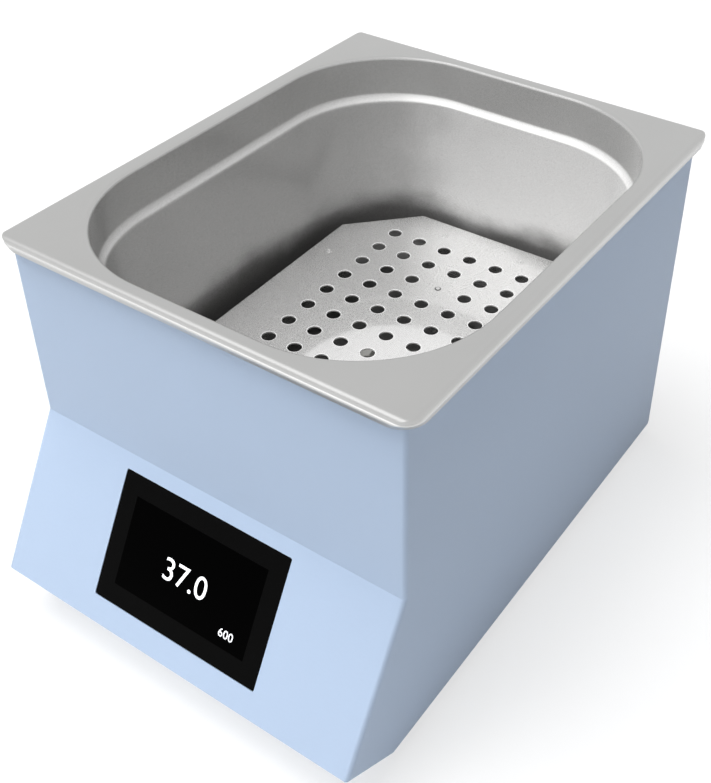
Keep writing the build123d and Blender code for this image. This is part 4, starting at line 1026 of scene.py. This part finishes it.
@dataclass
class Shelf:
    """The perforated shelf plate, with softened hole edges."""

    finishes: Finishes
    width: float = 0.198
    length: float = 0.265
    chamfer: float = 0.042
    sheet: float = 0.0012
    pitch: float = 0.0204
    columns: int = 7
    rows: int = 11
    hole: float = 0.0047
    hole_steps: int = 28
    turn: float = math.radians(1)
    post_row: int = 3
    rivet: float = 0.0018
    near: float = 0.001
    edge: float = 0.00025
    edge_steps: int = 2
    edge_angle: float = math.radians(40)
    level: float = 0.99

    def place(self) -> Matrix:
        """Find the top of the plate.

        Returns:
            Its middle, turned as the plate is.
        """
        low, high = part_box("perforated_shelf")
        middle = (low + high) / 2
        spot = Matrix.Translation((middle.x, middle.y, high.z))
        return spot @ Matrix.Rotation(self.turn, 4, "Z")

    def outline(self) -> bpy.types.Object:
        """Draw the plate's outline.

        Returns:
            A piece that is one loop of edges.
        """
        x, y, cut = self.width / 2, self.length / 2, self.chamfer
        points = [(x, y - cut), (x - cut, y), (cut - x, y), (-x, y - cut),
                  (-x, cut - y), (cut - x, -y), (x - cut, -y), (x, cut - y)]
        mesh = bpy.data.meshes.new("shelf_plate")
        edges = [(step, (step + 1) % len(points)) for step in range(len(points))]
        mesh.from_pydata([(*point, 0) for point in points], edges, [])
        piece = bpy.data.objects.new("shelf_plate", mesh)
        bpy.context.scene.collection.objects.link(piece)
        return piece

    def holes(self, tree: Modeller) -> bpy.types.GeometryNode:
        """Set a circle on each point of the grid, a smaller one over each post.

        Args:
            tree: The tree, with the sizes as its inputs.

        Returns:
            The node that gives the circles.
        """
        run_x, run_y = (
            tree.maths("MULTIPLY", tree.size("Pitch"),
                       tree.maths("SUBTRACT", tree.size(count), 1))
            for count in ("Columns", "Rows"))
        grid = tree.node("GeometryNodeMeshGrid", {}, {
            "Size X": run_x, "Size Y": run_y,
            "Vertices X": tree.size("Columns"), "Vertices Y": tree.size("Rows")})
        place = tree.node("GeometryNodeInputPosition")
        split = tree.node("ShaderNodeSeparateXYZ", {}, {0: place.outputs[0]})
        across, along = (tree.maths("ABSOLUTE", output) for output in split.outputs[:2])
        post = tree.maths("MULTIPLY", tree.size("Pitch"), tree.size("Post Row"))
        off_post = tree.maths("ABSOLUTE", tree.maths("SUBTRACT", along, post))
        near_post = tree.maths("LESS_THAN", tree.maths("ADD", across, off_post),
                               tree.size("Near"))
        radius = tree.node("GeometryNodeSwitch", {"input_type": "FLOAT"}, {
            0: near_post, 1: tree.size("Hole"), 2: tree.size("Rivet Hole")})
        spread = tree.node("GeometryNodeInstanceOnPoints", {}, {
            "Points": grid.outputs[0],
            "Instance": tree.circle(tree.size("Hole Steps"), 1.0).outputs[0],
            "Scale": radius.outputs[0]})
        return tree.node("GeometryNodeRealizeInstances", {}, {0: spread.outputs[0]})

    def build(self) -> bpy.types.Object:
        """Punch the plate by a Geometry Nodes tree.

        Returns:
            The plate.
        """
        piece = self.outline()
        tree = Modeller("shelf_perforation", {
            "Pitch": self.pitch, "Columns": self.columns, "Rows": self.rows,
            "Hole": self.hole, "Hole Steps": self.hole_steps, "Sheet": self.sheet,
            "Post Row": self.post_row, "Rivet Hole": self.rivet, "Near": self.near,
        })
        rim = tree.node("GeometryNodeMeshToCurve", {}, {0: tree.size("Geometry")})
        loops = tree.join(self.holes(tree), rim)
        top = tree.node("GeometryNodeFillCurve", {"mode": "NGONS"}, {0: loops})
        drop = tree.maths("MULTIPLY", tree.size("Sheet"), -1)
        sunk = tree.node("GeometryNodeExtrudeMesh", {}, {
            "Mesh": top.outputs[0], "Offset Scale": drop, "Individual": False})
        flipped = tree.node("GeometryNodeFlipFaces", {}, {0: sunk.outputs[0]})
        merged = tree.node("GeometryNodeMergeByDistance", {}, {0: tree.join(top, flipped)})
        tree.run(piece, merged.outputs[0], self.finishes.slots["shelf_steel"])
        piece.data.transform(self.place())
        bevel = piece.modifiers.new("hole_edges", "BEVEL")
        bevel.width = self.edge
        bevel.segments = self.edge_steps
        bevel.limit_method = "ANGLE"
        bevel.angle_limit = self.edge_angle
        settle(piece)
        piece.data.shade_smooth()
        for face in piece.data.polygons:
            face.use_smooth = abs(face.normal.z) < self.level
        self.finishes.dress(piece, "shelf_steel")
        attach(piece, Body.SHELF.value)
        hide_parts("perforated_shelf")
        return piece


def merged_copy(node: str, name: str, merge: float = 0.00001,
                flat: float = math.radians(0.2)) -> bpy.types.Object:
    """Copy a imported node, join its loose triangles and clear its stored normals.

    Args:
        node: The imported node.
        name: The copy's name.
        merge: Points nearer than this become one.
        flat: Faces that turn less than this become one.

    Returns:
        The copy, with its flat areas as single faces.
    """
    mesh = bpy.data.objects[node].data.copy()
    mesh.name = name
    for stale in [a for a in mesh.attributes if a.name == "custom_normal"]:
        mesh.attributes.remove(stale)
    shape = bmesh.new()
    shape.from_mesh(mesh)
    bmesh.ops.remove_doubles(shape, verts=shape.verts, dist=merge)
    bmesh.ops.dissolve_limit(shape, angle_limit=flat, verts=shape.verts, edges=shape.edges)
    shape.to_mesh(mesh)
    shape.free()
    piece = bpy.data.objects.new(name, mesh)
    bpy.context.scene.collection.objects.link(piece)
    return piece


@dataclass
class FinishedCopy:
    """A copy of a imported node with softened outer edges, such as folded or moulded ones have."""

    finishes: Finishes
    node: str
    slot: Slot
    edge: float = 0.0003
    edge_steps: int = 2
    body: Body = Body.BATH
    sharp: float = math.radians(35)
    flat_area: float = 0.00002

    def build(self) -> bpy.types.Object:
        """Bevel the outer edges and keep wide faces flat.

        Returns:
            The piece.
        """
        piece = merged_copy(self.node, f"{self.node}_finished")
        shape = bmesh.new()
        shape.from_mesh(piece.data)
        weights = shape.edges.layers.float.new("bevel_weight_edge")
        for edge in shape.edges:
            outer = len(edge.link_faces) == 2 and edge.calc_face_angle_signed() > self.sharp
            edge[weights] = float(outer)
        shape.to_mesh(piece.data)
        shape.free()
        bevel = piece.modifiers.new("edges", "BEVEL")
        bevel.width = self.edge
        bevel.segments = self.edge_steps
        bevel.limit_method = "WEIGHT"
        settle(piece)
        piece.data.shade_smooth()
        piece.data.set_sharp_from_angle(angle=self.sharp)
        for face in piece.data.polygons:
            face.use_smooth = face.area < self.flat_area
        self.finishes.dress(piece, self.slot.value)
        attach(piece, self.body.value)
        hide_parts(self.node)
        return piece


@dataclass
class WeldMarks:
    """Spot-weld marks on the shelf, over the feet of its legs."""

    finishes: Finishes
    shelf: Shelf
    side_spots: Point = (0.087, 0.058)
    end_spots: Point = (0.03, 0.119)
    ring: float = 0.0019
    bead: float = 0.0006
    nub: float = 0.0009
    rise: float = 0.6
    ring_steps: int = 24
    bead_steps: int = 10
    nub_steps: Point = (16, 8)

    def build(self) -> bpy.types.Object:
        """Set one ring and nub on each spot by a Geometry Nodes tree.

        Returns:
            The marks.
        """
        spots = [Vector((x * side, y * end, 0)) for x, y in (self.side_spots, self.end_spots)
                 for side in (-1, 1) for end in (-1, 1)]
        points = [self.shelf.place() @ spot for spot in spots]
        piece = new_piece("weld_marks", points, [], None)
        tree = Modeller("spot_welds", {"Ring": self.ring, "Bead": self.bead, "Nub": self.nub,
                                       "Rise": self.rise})
        path = tree.circle(self.ring_steps, tree.size("Ring"))
        section = tree.circle(self.bead_steps, tree.size("Bead"))
        ring = tree.node("GeometryNodeCurveToMesh", {}, {
            "Curve": path.outputs[0], "Profile Curve": section.outputs[0]})
        segments, rings = self.nub_steps
        nub = tree.node("GeometryNodeMeshUVSphere", {}, {
            "Segments": segments, "Rings": rings, "Radius": tree.size("Nub")})
        flat = tree.node("ShaderNodeCombineXYZ", {}, {0: 1.0, 1: 1.0, 2: tree.size("Rise")})
        low = tree.node("GeometryNodeTransform", {}, {
            "Geometry": tree.join(ring, nub), "Scale": flat.outputs[0]})
        spread = tree.node("GeometryNodeInstanceOnPoints", {}, {
            "Points": tree.size("Geometry"), "Instance": low.outputs[0]})
        smooth = tree.node("GeometryNodeSetShadeSmooth", {}, {
            "Geometry": spread.outputs[0]})
        tree.run(piece, smooth.outputs[0], self.finishes.slots["bright_steel"])
        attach(piece, Body.SHELF.value)
        return piece


def words_mesh(name: str, words: str, height: float, place: Matrix) -> bpy.types.Object:
    """Set plain words as a flat mesh.

    Args:
        name: The piece's name.
        words: The numerals or marks.
        height: Their size.
        place: The middle of the words, with X along them and Z out of the surface.

    Returns:
        The piece.
    """
    curve = bpy.data.curves.new(name, "FONT")
    curve.body = words
    curve.size = height
    curve.align_x = "CENTER"
    curve.align_y = "CENTER"
    text = bpy.data.objects.new(name, curve)
    bpy.context.scene.collection.objects.link(text)
    bpy.context.view_layer.update()
    graph = bpy.context.evaluated_depsgraph_get()
    mesh = bpy.data.meshes.new_from_object(text.evaluated_get(graph))
    bpy.data.objects.remove(text)
    mesh.transform(place)
    piece = bpy.data.objects.new(name, mesh)
    bpy.context.scene.collection.objects.link(piece)
    return piece


@dataclass
class RockerMarks:
    """The plain line and ring pressed on the power rocker."""

    finishes: Finishes
    height: float = 0.0045
    lift: float = 0.00003
    facing: float = 0.9
    digits: int = 2

    def halves(self) -> list[tuple[Vector, Vector]]:
        """Find the two widest faces that look outwards.

        Returns:
            The middle and the normal of each.
        """
        found = {}
        for face in bpy.data.objects["switch_rocker"].data.polygons:
            if face.normal.y > self.facing:
                key = tuple(round(value, self.digits) for value in face.normal)
                area, centre = found.get(key, (0.0, Vector((0, 0, 0))))
                found[key] = (area + face.area, centre + face.center * face.area)
        widest = sorted(found.items(), key=lambda item: -item[1][0])[:2]
        return [(centre / area, Vector(key).normalized()) for key, (area, centre) in widest]

    def build(self) -> list[bpy.types.Object]:
        """Set a mark on each half of the rocker's face.

        Returns:
            The two marks.
        """
        low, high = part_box("switch_rocker")
        marks = []
        for centre, normal in self.halves():
            across = Vector((-1, 0, 0))
            turn = Matrix((across, normal.cross(across), normal)).transposed().to_4x4()
            spot = centre + normal * self.lift
            upper = spot.z > (low.z + high.z) / 2
            piece = words_mesh("rocker_line" if upper else "rocker_ring", "I" if upper else "O",
                               self.height, Matrix.Translation(spot) @ turn)
            self.finishes.dress(piece, "white_plastic")
            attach(piece, Body.ROCKER.value)
            marks.append(piece)
        return marks


@dataclass
class Readout:
    """Plain lit numerals on the display."""

    finishes: Finishes
    words: str
    height: float
    across: float
    down: float
    lift: float = 0.00003

    def build(self, display: "Display") -> bpy.types.Object:
        """Set the numerals on the glass.

        Args:
            display: The display that carries them.

        Returns:
            The numerals as a mesh.
        """
        spot = Matrix.Translation((self.across, -self.down, self.lift))
        name = "readout_" + "".join(mark if mark.isdigit() else "_" for mark in self.words)
        piece = words_mesh(name, self.words, self.height, display.place() @ spot)
        self.finishes.dress(piece, "lit_segment")
        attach(piece, Body.BATH.value)
        return piece


@dataclass
class Display:
    """The black touch glass in the slope."""

    finishes: Finishes
    width: float = 0.118
    height: float = 0.078
    thickness: float = 0.002
    corner: float = 0.0008
    corner_steps: int = 6
    edge: float = 0.00025
    sharp: float = math.radians(30)
    slope: Point = (0.0513, 0.0899)

    def place(self) -> Matrix:
        """Find the middle of the glass's face.

        Returns:
            The place, with X across and Y up the slope.
        """
        run, drop = self.slope
        tilt = math.atan2(run, drop)
        low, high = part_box("display_glass")
        middle = (low + high) / 2
        out = Vector((0, -math.cos(tilt), math.sin(tilt)))
        centre = middle + out * self.thickness / 2
        turn = Matrix.Rotation(math.pi / 2 - tilt, 4, "X")
        return Matrix.Translation(centre) @ turn

    def build(self) -> bpy.types.Object:
        """Make the glass with ground edges.

        Returns:
            The glass.
        """
        rings = [
            (self.edge, -self.thickness), (0, self.edge - self.thickness),
            (0, -self.edge), (self.edge, 0),
        ]
        points = []
        for inset, height in rings:
            ring = rounded_ring(self.width / 2 - inset, self.height / 2 - inset, self.corner,
                                self.corner_steps)
            points += [self.place() @ Vector((x, y, height)) for x, y in ring]
        count = len(points) // len(rings)
        faces = [*loft_faces(count, len(rings)), tuple(reversed(range(count)))]
        piece = new_piece("touch_glass", points, faces, self.sharp)
        self.finishes.dress(piece, "display_glass")
        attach(piece, Body.BATH.value)
        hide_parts("display_glass")
        return piece


@dataclass(frozen=True)
class SoftBox:
    """A square lamp with a wide, even face."""

    name: str
    place: Vector
    size: float
    watts: float
    mirrored: bool = True

    def hang(self, target: Vector) -> None:
        """Hang it, seen in glossy surfaces only where it is mirrored.

        Args:
            target: The point that it faces.
        """
        light = bpy.data.lights.new(self.name, "AREA")
        light.shape = "SQUARE"
        light.size = self.size
        light.energy = self.watts
        lamp = bpy.data.objects.new(self.name, light)
        lamp.location = self.place
        lamp.rotation_euler = (target - self.place).to_track_quat("-Z", "Y").to_euler()
        lamp.visible_glossy = self.mirrored
        bpy.context.scene.collection.objects.link(lamp)


@dataclass
class Studio:
    """The floor, the lamps, the world and the camera."""

    floor_size: float = 12.0
    floor_colour: Colour = (0.86, 0.86, 0.86)
    floor_seen: Colour = (0.35, 0.35, 0.35)
    floor_glow: Colour = (0.68, 0.68, 0.68)
    white_from: float = 0.5
    white_to: float = 2.0
    floor_roughness: float = 0.9
    ambient: float = 0.18
    target: Vector = Vector((0, 0, 0.12))
    lamps: tuple[SoftBox, ...] = (
        SoftBox("key_box", Vector((-0.8, -1.9, 2.2)), 2.6, 21),
        SoftBox("top_box", Vector((-0.7, -0.5, 3.0)), 2.0, 106, mirrored=False),
    )
    camera_place: Vector = Vector((0.3434, -0.45504, 0.58904))
    azimuth: float = math.radians(33.835)
    elevation: float = math.radians(36.132)
    roll: float = math.radians(0.491)
    focal_pixels: float = 1188.4
    middle_pixels: Point = (411.7, 302.5)
    image_pixels: tuple[int, int] = (711, 783)
    sensor: float = 36.0
    clip: Point = (0.01, 50.0)

    def floor(self) -> None:
        """A white floor that keeps the shadow and turns plain white further off."""
        half = self.floor_size / 2
        corners = [(-half, -half, 0), (half, -half, 0), (half, half, 0), (-half, half, 0)]
        floor = new_piece("studio_floor", corners, [(0, 1, 2, 3)], None)
        graph = Graph("floor_white")
        seen = self.seen(graph)
        x, y, _ = graph.axes()
        far = (x * x + y * y).ramp(self.white_from ** 2, self.white_to ** 2)
        glow = graph.blend(far, self.floor_glow, (1, 1, 1))
        material = graph.surface({
            "Base Color": graph.blend(seen, self.floor_colour, self.floor_seen),
            "Roughness": self.floor_roughness,
            "Specular IOR Level": 0.0,
            "Emission Color": graph.blend(seen, (0, 0, 0), glow),
            "Emission Strength": 1.0,
        })
        floor.data.materials.append(material)
        floor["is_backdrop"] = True

    def seen(self, graph: Graph) -> Signal:
        """Tell the rays that show the background: camera, glossy and transmission rays.

        Args:
            graph: The tree of the world or the floor.

        Returns:
            1 for those rays, 0 for the rest.
        """
        path = graph.node("ShaderNodeLightPath")
        camera = Signal(graph, path.outputs["Is Camera Ray"])
        shown = camera + Signal(graph, path.outputs["Is Glossy Ray"])
        shown = shown + Signal(graph, path.outputs["Is Transmission Ray"])
        return shown.maths("MINIMUM", shown, 1.0)

    def world(self) -> None:
        """A white background over an even, weaker light."""
        world = bpy.data.worlds.new("studio")
        graph = Graph.of_world(world)
        seen = self.seen(graph)
        level = self.ambient + (1 - self.ambient) * seen
        ground = graph.node("ShaderNodeBackground", {}, {
            "Color": (1, 1, 1, 1), "Strength": level})
        graph.node("ShaderNodeOutputWorld", {}, {"Surface": ground.outputs[0]})
        bpy.context.scene.world = world

    def camera(self) -> None:
        """The photograph's camera."""
        wide, high = self.image_pixels
        lens = bpy.data.cameras.new("photo_camera")
        lens.sensor_width = self.sensor
        long_side = max(wide, high)
        lens.lens = self.sensor * self.focal_pixels / long_side
        lens.shift_x = (wide / 2 - self.middle_pixels[0]) / long_side
        lens.shift_y = (self.middle_pixels[1] - high / 2) / long_side
        lens.clip_start, lens.clip_end = self.clip
        camera = bpy.data.objects.new("photo_camera", lens)
        turn = Matrix.Rotation(self.azimuth, 4, "Z")
        turn = turn @ Matrix.Rotation(math.pi / 2 - self.elevation, 4, "X")
        turn = turn @ Matrix.Rotation(self.roll, 4, "Z")
        camera.matrix_world = Matrix.Translation(self.camera_place) @ turn
        bpy.context.scene.collection.objects.link(camera)
        bpy.context.scene.camera = camera

    def build(self) -> None:
        """Set everything up."""
        self.floor()
        self.world()
        for lamp in self.lamps:
            lamp.hang(self.target)
        self.camera()
        bpy.context.scene.view_settings.view_transform = "Standard"


def dress_nodes(frame: dict, finishes: Finishes) -> None:
    """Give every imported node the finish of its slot.

    Args:
        finishes: The bath's finishes.
    """
    shelf_parts = {"shelf_legs": "bright_steel", "shelf_posts": "shelf_steel"}
    for subpart in frame["record"]["subparts"]:
        node, slot = subpart["node"], subpart["material_slot"]
        slot = shelf_parts.get(node, slot)
        for holder in frame["nodes"][node].material_slots:
            holder.material = finishes.slots[slot]


def corners(bounds: tuple) -> list[list[float]]:
    """A box as plain lists of numbers."""
    return [list(map(float, corner)) for corner in bounds]


def main() -> None:
    """Build the pieces in order and report each."""
    logging.basicConfig(level=logging.INFO, format="%(name)s: %(message)s")
    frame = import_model()
    cad_bounds = corners(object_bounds())
    finishes = Finishes()
    display = Display(finishes)
    spot = display.place()
    low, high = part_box("tank")
    shelf = Shelf(finishes)
    finishes.build((low + high) / 2, shelf, spot.translation,
                   -(spot.to_3x3() @ Vector((0, 1, 0))))
    dress_nodes(frame, finishes)
    copies = [
        FinishedCopy(finishes, "case_shell", Slot.PAINT),
        FinishedCopy(finishes, "rear_panel", Slot.PAINT, FINE_EDGE),
        FinishedCopy(finishes, "base_plate", Slot.PAINT, FINE_EDGE),
        FinishedCopy(finishes, "mains_inlet", Slot.BLACK),
        FinishedCopy(finishes, "fuse_drawer", Slot.BLACK, FINE_EDGE, body=Body.DRAWER),
        FinishedCopy(finishes, "switch_frame", Slot.BLACK, FINE_EDGE),
        FinishedCopy(finishes, "switch_rocker", Slot.BLACK, FINE_EDGE, body=Body.ROCKER),
        FinishedCopy(finishes, "feet", Slot.FEET, WIDE_EDGE),
    ]
    copies += [FinishedCopy(finishes, screws, Slot.ZINC, SCREW_EDGE) for screws in
               ("rear_screws", "base_screws", "module_screws", "inlet_screws")]
    for maker in [Pan(finishes), shelf, WeldMarks(finishes, shelf), display, *copies]:
        piece = maker.build()
        log.info("%s: %d faces", piece.name, len(piece.data.polygons))
    for readout in [Readout(finishes, "37.0", 0.019, -0.002, 0.003),
                    Readout(finishes, "600", 0.007, 0.033, 0.019)]:
        log.info("%s", readout.build(display).name)
    for mark in RockerMarks(finishes).build():
        log.info("%s", mark.name)
    Studio().build()
    {"cad": cad_bounds, "visual": corners(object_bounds())}


if __name__ == "__main__":
    main()
